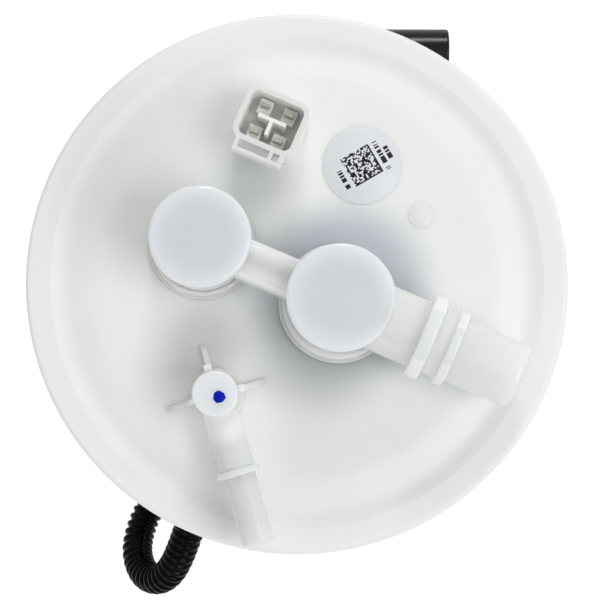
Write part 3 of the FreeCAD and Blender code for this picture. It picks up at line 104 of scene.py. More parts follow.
def from_screen(red: float, green: float, blue: float) -> Colour:
    """Turns a colour as a screen shows it, 0 to 255, into scene values.

    Args:
        red: Red part.
        green: Green part.
        blue: Blue part.

    Returns:
        The colour with an alpha of one.
    """
    parts = []
    for part in (red, green, blue):
        share = part / 255
        parts.append(share / 12.92 if share <= 0.04045 else ((share + 0.055) / 1.055) ** 2.4)
    return (*parts, 1.0)


def millimetres(*values: float) -> Vector:
    """Gives a point in metres from its three places in millimetres."""
    return Vector(value * MM for value in values)


def photo_to_frame(right: float, up: float, height: float = 0.0) -> Vector:
    """Gives the frame's point for a place in the photograph's own directions, in millimetres.

    Args:
        right: Place to the right of the flange's axis.
        up: Place above it in the picture.
        height: Height over the rim's underside.

    Returns:
        The point in metres.
    """
    cosine, sine = math.cos(PHOTO_TURN), math.sin(PHOTO_TURN)
    return millimetres(right * cosine - up * sine, right * sine + up * cosine, height)


class Room:
    """The box that a node fills at rest."""

    def __init__(self, node: str) -> None:
        """Measures the node."""
        self.low, self.high = (Vector(corner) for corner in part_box(node))
        self.size = self.high - self.low
        self.centre = (self.low + self.high) / 2


class Body(Enum):
    """The frame's moving bodies that new pieces ride on."""

    FLANGE = "flange_unit"
    RESERVOIR = "reservoir"
    FILL_FLOAT = "fill_float"
    ROLL_FLOAT = "roll_float"


class Sum:
    """A number inside a node tree that takes plain arithmetic."""

    def __init__(self, tree: NodeTree, socket: Socket) -> None:
        """Keeps the tree and the output that carries the number."""
        self.tree, self.socket = tree, socket

    def __add__(self, other: Value) -> Sum:
        """Adds a number."""
        return self.tree.maths("ADD", self, other)

    def __sub__(self, other: Value) -> Sum:
        """Takes a number away."""
        return self.tree.maths("SUBTRACT", self, other)

    def __mul__(self, other: Value) -> Sum:
        """Multiplies by a number."""
        return self.tree.maths("MULTIPLY", self, other)

    def __truediv__(self, other: Value) -> Sum:
        """Divides by a number."""
        return self.tree.maths("DIVIDE", self, other)


class NodeTree:
    """Writes the nodes of one tree with short calls."""

    def __init__(self, tree: bpy.types.NodeTree) -> None:
        """Keeps a geometry, material or group tree."""
        self.tree = tree

    def feed(self, socket: Socket, value: Value) -> None:
        """Links an output to a socket, or sets the socket's own value.

        Args:
            socket: The input to feed.
            value: An output of another node, or a plain value.
        """
        value = value.socket if isinstance(value, Sum) else value
        if isinstance(value, bpy.types.NodeSocket):
            self.tree.links.new(value, socket)
        else:
            socket.default_value = value

    def add(self, kind: str, inputs: dict[Union[str, int], Value] | None = None, **settings: object) -> bpy.types.Node:
        """Adds a node.

        Args:
            kind: The node's type.
            inputs: Values or outputs for its inputs, by name or number.
            **settings: Properties of the node.

        Returns:
            The new node.
        """
        node = self.tree.nodes.new(kind)
        for name, value in settings.items():
            setattr(node, name, value)
        for key, value in (inputs or {}).items():
            self.feed(node.inputs[key], value)
        return node

    def maths(self, operation: str, *values: Value, clamp: bool = False) -> Sum:
        """Adds a sum on numbers and gives its result.

        Args:
            operation: The name of the operation.
            *values: One to three numbers or outputs.
            clamp: Whether the result is kept between 0 and 1.

        Returns:
            The result.
        """
        node = self.add("ShaderNodeMath", dict(enumerate(values)), operation=operation, use_clamp=clamp)
        return Sum(self, node.outputs[0])

    def vectors(self, operation: str, *values: Value) -> Socket:
        """Adds a sum on vectors and gives its result, which is a number for LENGTH."""
        node = self.add("ShaderNodeVectorMath", dict(enumerate(values)), operation=operation)
        return node.outputs["Value" if operation == "LENGTH" else "Vector"]

    def joined(self, x: Value = 0.0, y: Value = 0.0, z: Value = 0.0) -> Socket:
        """Gives a vector from its three numbers."""
        return self.add("ShaderNodeCombineXYZ", {0: x, 1: y, 2: z}).outputs[0]

    def parted(self, vector: Value) -> list[Sum]:
        """Gives a vector's three numbers."""
        return [Sum(self, output) for output in self.add("ShaderNodeSeparateXYZ", {0: vector}).outputs]

    def object_place(self) -> Socket:
        """Gives the place in the object's own coordinates."""
        return self.add("ShaderNodeTexCoord").outputs["Object"]


class GroupTree(NodeTree):
    """A tree with named inputs and outputs."""

    def __init__(self, name: str, kind: str, inputs: dict[str, str], outputs: dict[str, str],
                 **numbers: float) -> None:
        """Starts the tree.

        Args:
            name: The tree's name.
            kind: Its type.
            inputs: Socket types of the inputs that aren't numbers, by name.
            outputs: Socket types of the outputs, by name.
            **numbers: First values of its numbers, with underscores for spaces. Whole ones become counts.
        """
        super().__init__(bpy.data.node_groups.new(name, kind))
        for title, socket_type in inputs.items():
            self.tree.interface.new_socket(title, in_out="INPUT", socket_type=socket_type)
        for title, number in numbers.items():
            socket_type = "NodeSocketInt" if isinstance(number, int) else "NodeSocketFloat"
            made = self.tree.interface.new_socket(title.replace("_", " "), in_out="INPUT", socket_type=socket_type)
            made.default_value = number
        for title, socket_type in outputs.items():
            self.tree.interface.new_socket(title, in_out="OUTPUT", socket_type=socket_type)
        self.source, self.target = self.add("NodeGroupInput"), self.add("NodeGroupOutput")

    def __getitem__(self, name: str) -> Sum:
        """Gives what comes in at a named input."""
        return Sum(self, self.source.outputs[name])


class ShapeTree(GroupTree):
    """A geometry tree with named sizes, which ends in real geometry with one material."""

    def __init__(self, name: str, **sizes: float) -> None:
        """Starts the tree with its name, its named sizes and their first values."""
        super().__init__(name, "GeometryNodeTree",
                         {"Geometry": "NodeSocketGeometry", "Material": "NodeSocketMaterial"},
                         {"Geometry": "NodeSocketGeometry"}, **sizes)

    def close(self, geometry: Socket) -> None:
        """Ends the tree with its finished geometry."""
        real = self.add("GeometryNodeRealizeInstances", {"Geometry": geometry})
        painted = self.add("GeometryNodeSetMaterial", {"Geometry": real.outputs[0], "Material": self["Material"]})
        self.feed(self.target.inputs["Geometry"], painted.outputs[0])

    def sweep(self, curve: Socket, radius: Value, scale: Value = 1.0) -> None:
        """Runs a round section with the tree's Sides along a curve, and ends the tree.

        Args:
            curve: The line to follow.
            radius: The section's radius.
            scale: A factor on the radius along the line.
        """
        section = self.add("GeometryNodeCurvePrimitiveCircle", {"Resolution": self["Sides"], "Radius": radius})
        tube = self.add("GeometryNodeCurveToMesh", {"Curve": curve, "Profile Curve": section.outputs[0],
                                                    "Scale": scale, "Fill Caps": True})
        self.close(self.add("GeometryNodeSetShadeSmooth", {"Geometry": tube.outputs[0]}).outputs[0])

    def stand(self, points: Value, shape: bpy.types.Node, rotation: Value = (0.0, 0.0, 0.0)) -> Socket:
        """Stands a copy of a shape on each point and gives the copies."""
        return self.add("GeometryNodeInstanceOnPoints", {"Points": points, "Instance": shape.outputs[0],
                                                         "Rotation": rotation}).outputs[0]

    def make(self, name: str, material: bpy.types.Material, base: bpy.types.Mesh | None = None,
             **sizes: float) -> bpy.types.Object:
        """Runs the tree and gives its result as a plain mesh piece.

        Args:
            name: The piece's name.
            material: The piece's material.
            base: The mesh that the tree starts from, if it needs one.
            **sizes: Values of the tree's named sizes.

        Returns:
            The new object, with no modifier on it.
        """
        holder = link_object(name, base or bpy.data.meshes.new(name))
        modifier = holder.modifiers.new("Shape", "NODES")
        modifier.node_group = self.tree
        given = {**sizes, "Material": material}
        for item in self.tree.interface.items_tree:
            if item.in_out == "INPUT" and item.name in given:
                modifier[item.identifier] = given[item.name]
        mesh = evaluated_mesh(holder)
        holder.modifiers.remove(modifier)
        holder.data = mesh
        mesh.materials.clear()
        mesh.materials.append(material)
        return holder


def link_object(name: str, data: bpy.types.ID) -> bpy.types.Object:
    """Puts a mesh, curve, lamp or camera into the scene as an object at the origin."""
    item = bpy.data.objects.new(name, data)
    bpy.context.scene.collection.objects.link(item)
    return item


def evaluated_mesh(holder: bpy.types.Object) -> bpy.types.Mesh:
    """Gives the plain mesh that an object's curve or modifiers come to."""
    return bpy.data.meshes.new_from_object(holder.evaluated_get(bpy.context.evaluated_depsgraph_get()))


def mesh_piece(name: str, corners: Iterable[Sequence[float]], faces: Iterable[Sequence[int]],
               material: bpy.types.Material, smooth: bool = True) -> bpy.types.Object:
    """Makes a piece from its corners and faces, with its normals outwards.

    Args:
        name: The piece's name.
        corners: Points in metres.
        faces: Corner numbers of each face.
        material: The piece's material.
        smooth: Whether its faces are shaded smooth.

    Returns:
        The new object.
    """
    mesh = bpy.data.meshes.new(name)
    mesh.from_pydata([tuple(corner) for corner in corners], [], [tuple(face) for face in faces])
    work = bmesh.new()
    work.from_mesh(mesh)
    bmesh.ops.remove_doubles(work, verts=work.verts, dist=1e-7)
    bmesh.ops.recalc_face_normals(work, faces=work.faces)
    work.to_mesh(mesh)
    work.free()
    mesh.polygons.foreach_set("use_smooth", [smooth] * len(mesh.polygons))
    mesh.materials.append(material)
    return link_object(name, mesh)


def ring_faces(base: int, rings: int, count: int, closed: bool = True) -> list[tuple[int, ...]]:
    """Gives the faces between rings of corners that follow each other.

    Args:
        base: The number of the first corner.
        rings: How many rings there are.
        count: How many corners a ring has.
        closed: Whether the last ring joins the first.

    Returns:
        Four corner numbers for each face.
    """
    faces = []
    for ring in range(rings if closed else rings - 1):
        start, turn = base + ring * count, base + (ring + 1) % rings * count
        for step in range(count):
            after = (step + 1) % count
            faces.append((start + step, turn + step, turn + after, start + after))
    return faces


def turned_piece(name: str, profile: Sequence[tuple[float, float]], centre: Vector, material: bpy.types.Material,
                 wobble: Callable[[float], float] = lambda angle: 1.0) -> bpy.types.Object:
    """Makes a closed piece by turning a profile about an upright axis.

    Args:
        name: The piece's name.
        profile: Radius and height pairs in metres, from the axis or round a closed section.
        centre: The point that radius and height are counted from.
        material: The piece's material.
        wobble: A factor on the radius for each angle.

    Returns:
        The new object.
    """
    corners = []
    for step in range(AROUND):
        angle = FULL_TURN * step / AROUND
        for radius, height in profile:
            reach = radius * wobble(angle)
            corners.append(centre + Vector((reach * math.cos(angle), reach * math.sin(angle), height)))
    return mesh_piece(name, corners, ring_faces(0, AROUND, len(profile)), material)


class Effect(GroupTree):
    """A shader group that puts out tones, masks, roughness and heights."""

    def __init__(self, name: str, outputs: Sequence[str], inputs: dict[str, str] | None = None,
                 **numbers: float) -> None:
        """Starts the group, whose results are all numbers."""
        super().__init__(name, "ShaderNodeTree", inputs or {}, dict.fromkeys(outputs, "NodeSocketFloat"), **numbers)
        self.place = self.object_place()

    def noise(self, scale: Value, detail: float, place: Value | None = None) -> Sum:
        """Gives noise between 0 and 1 at the object's place or another.

        Args:
            scale: The noise's scale.
            detail: How many finer layers it has.
            place: Where it is read, if not at the object's place.

        Returns:
            The noise.
        """
        node = self.add("ShaderNodeTexNoise", {"Vector": self.place if place is None else place, "Scale": scale,
                                            "Detail": detail})
        return Sum(self, node.outputs["Fac"])

    def close(self, **results: Value) -> Effect:
        """Feeds the named results and gives the finished group."""
        for name, value in results.items():
            self.feed(self.target.inputs[name], value)
        return self


def grain_effect() -> Effect:
    """Makes the moulded surface effect: soft clouds in the colour and a very fine grain."""
    group = Effect("moulded_grain", ("Tone", "Roughness", "Height"), Cloud_Size=90.0, Cloud=0.03, Grain_Size=2600.0,
                   Roughness=0.4, Spread=0.08)
    cloud, grain = group.noise(group["Cloud Size"], 4.0), group.noise(group["Grain Size"], 2.0)
    swing, cloud_height = cloud - 0.5, 0.3
    return group.close(Tone=swing * group["Cloud"] + 1.0, Roughness=swing * group["Spread"] + group["Roughness"],
                       Height=cloud * cloud_height + grain)


def drawn_effect() -> Effect:
    """Makes the drawn metal effect: fine lines along Z over soft stains."""
    group = Effect("drawn_lines", ("Tone", "Roughness", "Height"), Line_Size=1500.0, Stretch=0.03, Roughness=0.3,
                   Spread=0.15)
    drawn = group.vectors("MULTIPLY", group.place, group.joined(1.0, 1.0, group["Stretch"]))
    stain_size, stain_depth = 160.0, 0.16
    lines, stains = group.noise(group["Line Size"], 3.0, drawn), group.noise(stain_size, 3.0)
    return group.close(Tone=(stains - 0.5) * stain_depth + 1.0,
                       Roughness=(lines - 0.5) * group["Spread"] + group["Roughness"], Height=lines)


def weave_effect() -> Effect:
    """Makes the plain weave effect in X and Y: threads over and under, with open holes between them."""
    group = Effect("plain_weave", ("Thread", "Height"), Thread_Count=1500.0)
    waves = [group.maths("ABSOLUTE", group.maths("SINE", place * group["Thread Count"]))
             for place in group.parted(group.place)[:2]]
    return group.close(Thread=group.maths("MAXIMUM", *waves), Height=waves[0] + waves[1])


def patch_effect() -> Effect:
    """Makes the round soft patch of another colour, used where a darker part shows through a milky wall and for
    painted shade, shadow and light.
    """
    group = Effect("seen_through_and_painted_light", ("Mask",), {"Centre": "NodeSocketVector"}, Inner=0.012, Outer=0.024,
                   Strength=0.4, Above=-1.0)
    away = group.vectors("SUBTRACT", group.place, group["Centre"])
    reach = group.vectors("LENGTH", group.vectors("MULTIPLY", away, (1.0, 1.0, 0.0)))
    fade = group.add("ShaderNodeMapRange", {"Value": reach, "From Min": group["Inner"], "From Max": group["Outer"],
                                            "To Min": 1.0, "To Max": 0.0}, interpolation_type="SMOOTHERSTEP")
    above = group.maths("GREATER_THAN", group.parted(group.place)[2], group["Above"])
    return group.close(Mask=Sum(group, fade.outputs[0]) * (group["Strength"] * above))


class Effects:
    """The shader groups that the finishes share, each built once."""

    def __init__(self) -> None:
        """Builds the groups."""
        self.grain, self.drawn = grain_effect(), drawn_effect()
        self.weave, self.patch = weave_effect(), patch_effect()


class Shader(NodeTree):
    """One material with its Principled shader."""

    def __init__(self, name: str, **numbers: Value) -> None:
        """Starts the material.

        Args:
            name: The material's name.
            **numbers: Plain values of the shader, with underscores for spaces.
        """
        self.material = bpy.data.materials.new(name)
        self.material.use_nodes = True
        super().__init__(self.material.node_tree)
        self.principled = self.tree.nodes["Principled BSDF"]
        for socket, value in numbers.items():
            self.principled.inputs[socket.replace("_", " ")].default_value = value

    def effect(self, group: Effect, **inputs: Value) -> bpy.types.Node:
        """Places a shared effect in the material.

        Args:
            group: The effect.
            **inputs: Its values, with underscores for spaces.

        Returns:
            The group's node.
        """
        return self.add("ShaderNodeGroup", {name.replace("_", " "): value for name, value in inputs.items()},
                        node_tree=group.tree)

    def toned(self, colour: Colour, tone: Socket) -> Socket:
        """Gives a colour lightened or darkened by a tone about one."""
        return self.vectors("MULTIPLY", colour[:3], tone)

    def mixed(self, share: Value, first: Value, second: Value) -> Socket:
        """Gives a mix of two colours by a share or mask."""
        return self.add("ShaderNodeMix", {0: share, 6: first, 7: second}, data_type="RGBA").outputs[2]

    def close(self, colour: Value, surface: bpy.types.Node, slope: float, height: float = 0.0) -> bpy.types.Material:
        """Feeds the colour, and the roughness and the height that an effect gives.

        Args:
            colour: The base colour.
            surface: The effect's node.
            slope: The share of the height's full slope, where zero leaves the surface smooth.
            height: The height in metres of a value of one.

        Returns:
            The finished material.
        """
        self.feed(self.principled.inputs["Base Color"], colour)
        if "Roughness" in surface.outputs:
            self.feed(self.principled.inputs["Roughness"], surface.outputs["Roughness"])
        if slope:
            bump = self.add("ShaderNodeBump", {"Strength": slope, "Distance": height,
                                               "Height": surface.outputs["Height"]})
            self.feed(self.principled.inputs["Normal"], bump.outputs[0])
        return self.material


@dataclass(frozen=True)
class Coating:
    """What every finish has: a name, which is its slot's, and a colour."""

    name: str
    colour: Colour

    def material(self, effects: Effects) -> bpy.types.Material:
        """Builds the material.

        Args:
            effects: The shared effects.

        Returns:
            The material.
        """
        raise NotImplementedError


@dataclass(frozen=True)
class Patch:
    """A round patch of another colour that fades outwards, as seen from above, which paints shade, shadow and light,
    and parts seen through a wall.
    """

    centre: Point
    inner: float
    outer: float
    strength: float
    colour: Colour
    above: float = -1.0


@dataclass(frozen=True)
class Plastic(Coating):
    """A moulded plastic with soft clouds of tone and a fine grain."""

    roughness: float = 0.4
    milky: float = 0.0
    depth: float = 0.002
    cloud: float = 0.04
    gloss: float = 0.5
    patches: tuple[Patch, ...] = ()
    ior: float = 1.48
    cloud_size: float = 90.0
    grain_size: float = 2600.0
    spread: float = 0.08
    slope: float = 0.25
    height: float = 0.00003

    def material(self, effects: Effects) -> bpy.types.Material:
        """Builds the material."""
        shader = Shader(self.name, IOR=self.ior, Subsurface_Weight=self.milky, Subsurface_Scale=self.depth,
                        Subsurface_Radius=(1.0, 1.0, 1.1), Specular_IOR_Level=self.gloss)
        grain = shader.effect(effects.grain, Cloud=self.cloud, Cloud_Size=self.cloud_size,
                              Grain_Size=self.grain_size, Roughness=self.roughness, Spread=self.spread)
        colour = shader.toned(self.colour, grain.outputs["Tone"])
        for patch in self.patches:
            mask = shader.effect(effects.patch, Centre=patch.centre, Inner=patch.inner, Outer=patch.outer,
                                 Strength=patch.strength, Above=patch.above)
            colour = shader.mixed(mask.outputs["Mask"], colour, patch.colour)
        return shader.close(colour, grain, self.slope, self.height)


@dataclass(frozen=True)
class Rubber(Plastic):
    """A dark soft rubber or a foam skin with a slow sheen."""

    roughness: float = 0.55
    cloud: float = 0.5
    ior: float = 1.5
    cloud_size: float = 240.0
    grain_size: float = 4200.0
    spread: float = 0.2
    slope: float = 0.4
    height: float = 0.00004


@dataclass(frozen=True)
class Metal(Coating):
    """A drawn or plated metal."""

    roughness: float = 0.3
    line_size: float = 1500.0
    stretch: float = 0.03
    slope: float = 0.3
    height: float = 0.00002

    def material(self, effects: Effects) -> bpy.types.Material:
        """Builds the material."""
        shader = Shader(self.name, Metallic=1.0)
        drawn = shader.effect(effects.drawn, Line_Size=self.line_size, Stretch=self.stretch, Roughness=self.roughness)
        return shader.close(shader.toned(self.colour, drawn.outputs["Tone"]), drawn, self.slope, self.height)


@dataclass(frozen=True)
class Cloth(Coating):
    """A woven mesh or pleated paper."""

    gap_colour: Colour
    threads: float
    roughness: float = 0.7
    sheen: float = 0.2
    slope: float = 0.6
    height: float = 0.00008

    def material(self, effects: Effects) -> bpy.types.Material:
        """Builds the material."""
        shader = Shader(self.name, Roughness=self.roughness, Sheen_Weight=self.sheen)
        weave = shader.effect(effects.weave, Thread_Count=self.threads)
        colour = shader.mixed(weave.outputs["Thread"], self.gap_colour, self.colour)
        return shader.close(colour, weave, self.slope, self.height)


# Places on the flange, at height zero
LABEL_SPOT = (0.0033, 0.0322, 0.0)


@dataclass(frozen=True)
class Label(Coating):
    """A thin film with a square of random cells and rows of plain ticks. Nothing on it can be read."""

    ink: Colour
    turn: float = math.radians(-53.5)
    cell: float = 0.00040
    square: float = 0.0039
    tick: float = 0.00026
    row_half: float = 0.0006
    rows: tuple[Point, ...] = ((0.0054, -0.0041, 0.0046), (0.0072, -0.0020, 0.0018), (-0.0056, -0.0034, 0.0020))
    empty_cells: float = 0.45
    empty_ticks: float = 0.4
    roughness: float = 0.35
    cloud: float = 0.03
    ior: float = 1.45

    def inside(self, shader: Shader, place: Sequence[Sum], *limits: float) -> Sum:
        """Gives one inside a rectangle.

        Args:
            shader: The label's shader.
            place: Place across and along the label.
            *limits: The lowest and highest place across, then along.

        Returns:
            The mask.
        """
        across, along = (shader.maths("GREATER_THAN", value, low) * shader.maths("LESS_THAN", value, high)
                         for value, low, high in zip(place, limits[::2], limits[1::2]))
        return across * along

    def speckle(self, shader: Shader, place: Sequence[Sum], sizes: tuple[float, float], empty: float) -> Sum:
        """Gives random full cells on a grid.

        Args:
            shader: The label's shader.
            place: Place across and along the label.
            sizes: The cell's two sides.
            empty: The share of empty cells.

        Returns:
            The mask.
        """
        steps = [shader.maths("FLOOR", value / size) for value, size in zip(place, sizes)]
        noise = shader.add("ShaderNodeTexWhiteNoise", {"Vector": shader.joined(*steps)}, noise_dimensions="2D")
        return shader.maths("GREATER_THAN", noise.outputs["Value"], empty)

    def material(self, effects: Effects) -> bpy.types.Material:
        """Builds the material."""
        shader = Shader(self.name, IOR=self.ior)
        away = shader.vectors("SUBTRACT", shader.object_place(), LABEL_SPOT)
        turned = shader.add("ShaderNodeVectorRotate", {"Vector": away, "Angle": self.turn}, rotation_type="Z_AXIS")
        place, side, edge = shader.parted(turned.outputs[0])[:2], self.square, self.square - self.cell
        cells = self.speckle(shader, place, (self.cell, self.cell), self.empty_cells)
        edges = shader.maths("MAXIMUM", self.inside(shader, place, edge, side, -side, side),
                             self.inside(shader, place, -side, side, -side, -edge))
        ink = self.inside(shader, place, -side, side, -side, side) * shader.maths("MAXIMUM", cells, edges)
        ticks = self.speckle(shader, place, (1.0, self.tick), self.empty_ticks)
        for middle, low, high in self.rows:
            row = self.inside(shader, place, middle - self.row_half, middle + self.row_half, low, high)
            ink = shader.maths("MAXIMUM", ink, row * ticks)
        grain = shader.effect(effects.grain, Cloud=self.cloud, Roughness=self.roughness)
        return shader.close(shader.mixed(ink, shader.toned(self.colour, grain.outputs["Tone"]), self.ink), grain, 0.0)


# Blue grey of the dark valve bodies seen through the milky flange, spread and shifted as their caps' painted shadow
VALVE_AND_SHADOW_BLUE = from_screen(102, 115, 144)
# Grey of painted shade and painted shadow on the flange
PAINTED_SHADE_GREY = from_screen(112, 121, 122)
# Grey of the painted shadow beside the feed elbow's column
COLUMN_SHADE = from_screen(132, 131, 124)
# A near white that paints light over cast shadows and over the elbow's fin shading
PAINTED_LIGHT_TONE = from_screen(253, 254, 252)
CAP_TONE = from_screen(222, 226, 232)
# Grey that paints shade on the tops of the spigot's collars
COLLAR_PAINTED_SHADE = from_screen(224, 228, 231)
PLUG_TONE = from_screen(224, 226, 223)
COLUMN_AXIS = (-0.0068, -0.0334, 0.0)
FILL_AXIS = (-0.0244, -0.0013, 0.0)
VENT_AXIS = (0.0114, -0.0013, 0.0)


class Finish(Enum):
    """Every finish of the module, by the record's material slot."""

    WHITE_NYLON = Plastic("white_nylon", from_screen(236, 238, 236), 0.42, 0.35, 0.003, patches=(
        # Partly the vent valve's body seen through the panel, partly its cap's painted shadow
        Patch((0.0112, 0.0030, 0.0), 0.010, 0.0275, 0.50, VALVE_AND_SHADOW_BLUE),
        # Partly the vent valve's body seen through the panel, partly painted shadow below its cap
        Patch((0.0112, -0.0122, 0.0), 0.002, 0.024, 0.50, PAINTED_SHADE_GREY),
        # Partly the fill valve's body seen through the panel, partly its cap's painted shadow
        Patch((-0.0230, -0.0030, 0.0), 0.006, 0.022, 0.10, VALVE_AND_SHADOW_BLUE),
        # Painted shadow between the fill cap and the feed elbow's column
        Patch((-0.0150, -0.0230, 0.0), 0.001, 0.015, 0.36, COLUMN_SHADE),
        # Painted shadow that the plug casts on the panel
        Patch((-0.0200, 0.0185, 0.0), 0.001, 0.015, 0.34, PAINTED_SHADE_GREY),
        # Painted shade: a broad darkening over one side of the panel
        Patch((-0.0440, 0.0114, 0.0), 0.004, 0.042, 0.13, PAINTED_SHADE_GREY),
        # Painted light that lifts the feed elbow tube's cast shadow on the panel
        Patch((-0.0068, -0.0433, 0.0), 0.002, 0.012, 0.7, PAINTED_LIGHT_TONE),
    ))
    CAP_NYLON = Plastic("cap_nylon", from_screen(239, 242, 244), 0.17, 0.85, 0.006, 0.03, patches=(
        Patch(FILL_AXIS, 0.0116, 0.0126, 1.0, CAP_TONE, 0.0242),
        Patch(VENT_AXIS, 0.0122, 0.0132, 1.0, CAP_TONE, 0.0234),
        # Painted shade that darkens the top of the collars
        Patch((0.0365, -0.0013, 0.0), 0.0110, 0.0120, 0.9, COLLAR_PAINTED_SHADE, 0.0238),
    ))
    ELBOW_NYLON = Plastic("elbow_nylon", from_screen(222, 225, 226), 0.2, 0.7, 0.005, 0.03, patches=(
        # Painted light that evens out the shading round the column's fins
        Patch(COLUMN_AXIS, 0.0090, 0.0135, 0.9, PAINTED_LIGHT_TONE),
        Patch(COLUMN_AXIS, 0.0049, 0.0056, 0.8, CAP_TONE, 0.0185),
    ))
    PLUG_PLASTIC = Plastic("plug_plastic", from_screen(249, 249, 245), 0.42, 0.35, 0.003, 0.02, patches=(
        Patch((-0.0205, 0.0302, 0.0), 0.014, 0.015, 1.0, PLUG_TONE, 0.0166),
    ))
    CUP_NYLON = Plastic("cup_nylon", from_screen(228, 229, 226), 0.42, 0.35, 0.003)
    VALVE_NYLON = Plastic("valve_nylon", from_screen(214, 216, 216), 0.4, 0.2, 0.002)
    CASE_NYLON = Plastic("case_nylon", from_screen(46, 47, 49), 0.38, cloud=0.15)
    SENDER_NYLON = Plastic("sender_nylon", from_screen(36, 36, 38), 0.45, cloud=0.15)
    HOSE_NYLON = Plastic("hose_nylon", from_screen(1, 1, 2), 0.12, cloud=0.2, gloss=0.1)
    CERAMIC = Plastic("ceramic", from_screen(232, 231, 222), 0.3)
    CARBON = Plastic("carbon", from_screen(46, 46, 48), 0.5, cloud=0.3)
    SEAL_RUBBER = Rubber("seal_rubber", from_screen(38, 44, 41))
    SOFT_RUBBER = Rubber("soft_rubber", from_screen(46, 46, 47))
    FLOAT_FOAM = Rubber("float_foam", from_screen(9, 10, 18), 0.22, gloss=0.34)
    BRIGHT_STEEL = Metal("bright_steel", from_screen(214, 214, 212), 0.22)
    SPRING_STEEL = Metal("spring_steel", from_screen(188, 188, 186), 0.3, stretch=1.0)
    ZINC_STEEL = Metal("zinc_steel", from_screen(200, 201, 196), 0.34, 700.0, 1.0)
    TINNED_BRASS = Metal("tinned_brass", from_screen(196, 193, 184), 0.55)
    COPPER = Metal("copper", from_screen(214, 146, 104), 0.25)
    MAGNET = Metal("magnet", from_screen(70, 70, 72), 0.6)
    FILTER_PAPER = Cloth("filter_paper", from_screen(226, 214, 176), from_screen(206, 190, 148), 1600.0)
    STRAINER_CLOTH = Cloth("strainer_cloth", from_screen(226, 228, 224), from_screen(150, 154, 152), 5200.0)
    LABEL_FILM = Label("label_film", from_screen(222, 225, 229), from_screen(12, 12, 16))
    PAINT = Plastic("paint_mark", from_screen(0, 28, 168), 0.35, cloud=0.1, gloss=0.1)
    NYLON_SKIN = Plastic("nylon_skin", from_screen(229, 232, 230), 0.42)


# Finishes that no node of the record has
UNLISTED = (Finish.LABEL_FILM, Finish.PAINT, Finish.NYLON_SKIN)


@dataclass(frozen=True)
class Paints:
    """The built materials, by slot name."""

    made: dict[str, bpy.types.Material]

    def __getitem__(self, finish: Finish) -> bpy.types.Material:
        """Gives a finish's material."""
        return self.made[finish.value.name]


def build_paints(effects: Effects) -> Paints:
    """Builds every finish's material.

    Args:
        effects: The shared effects.

    Returns:
        The materials.
    """
    return Paints({finish.value.name: finish.value.material(effects) for finish in Finish})


def dress_nodes(paints: Paints) -> None:
    """Gives each CAD node the material of its slot in the record.

    Args:
        paints: The built materials.
    """
    slots = {row["node"]: row["material_slot"] for row in frame["record"]["subparts"]}
    for name, item in frame["nodes"].items():
        material = paints[Finish.ELBOW_NYLON] if name == "feed_elbow" else paints.made[slots[name]]
        item.data.materials.clear()
        item.data.materials.append(material)
        LOG.info("dressed %s in %s", name, material.name)


@dataclass
class Assembly:
    """The new pieces of one sub-assembly."""

    paints: Paints

    def build(self) -> None:
        """Makes every piece and seats it."""
        raise NotImplementedError

    def seat(self, piece: bpy.types.Object, body: Body, finish: Finish, node: str | None = None) -> None:
        """Seats a finished piece on its body and hides the CAD node that it stands for.

        Args:
            piece: The piece.
            body: The body that it rides on.
            finish: The finish of its slot, which is not used.
            node: The CAD node, if there is one.
        """
        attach(piece, body.value)
        finish not in UNLISTED
        if node:
            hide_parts(node)
        LOG.info("piece %s rides on %s", piece.name, body.value)


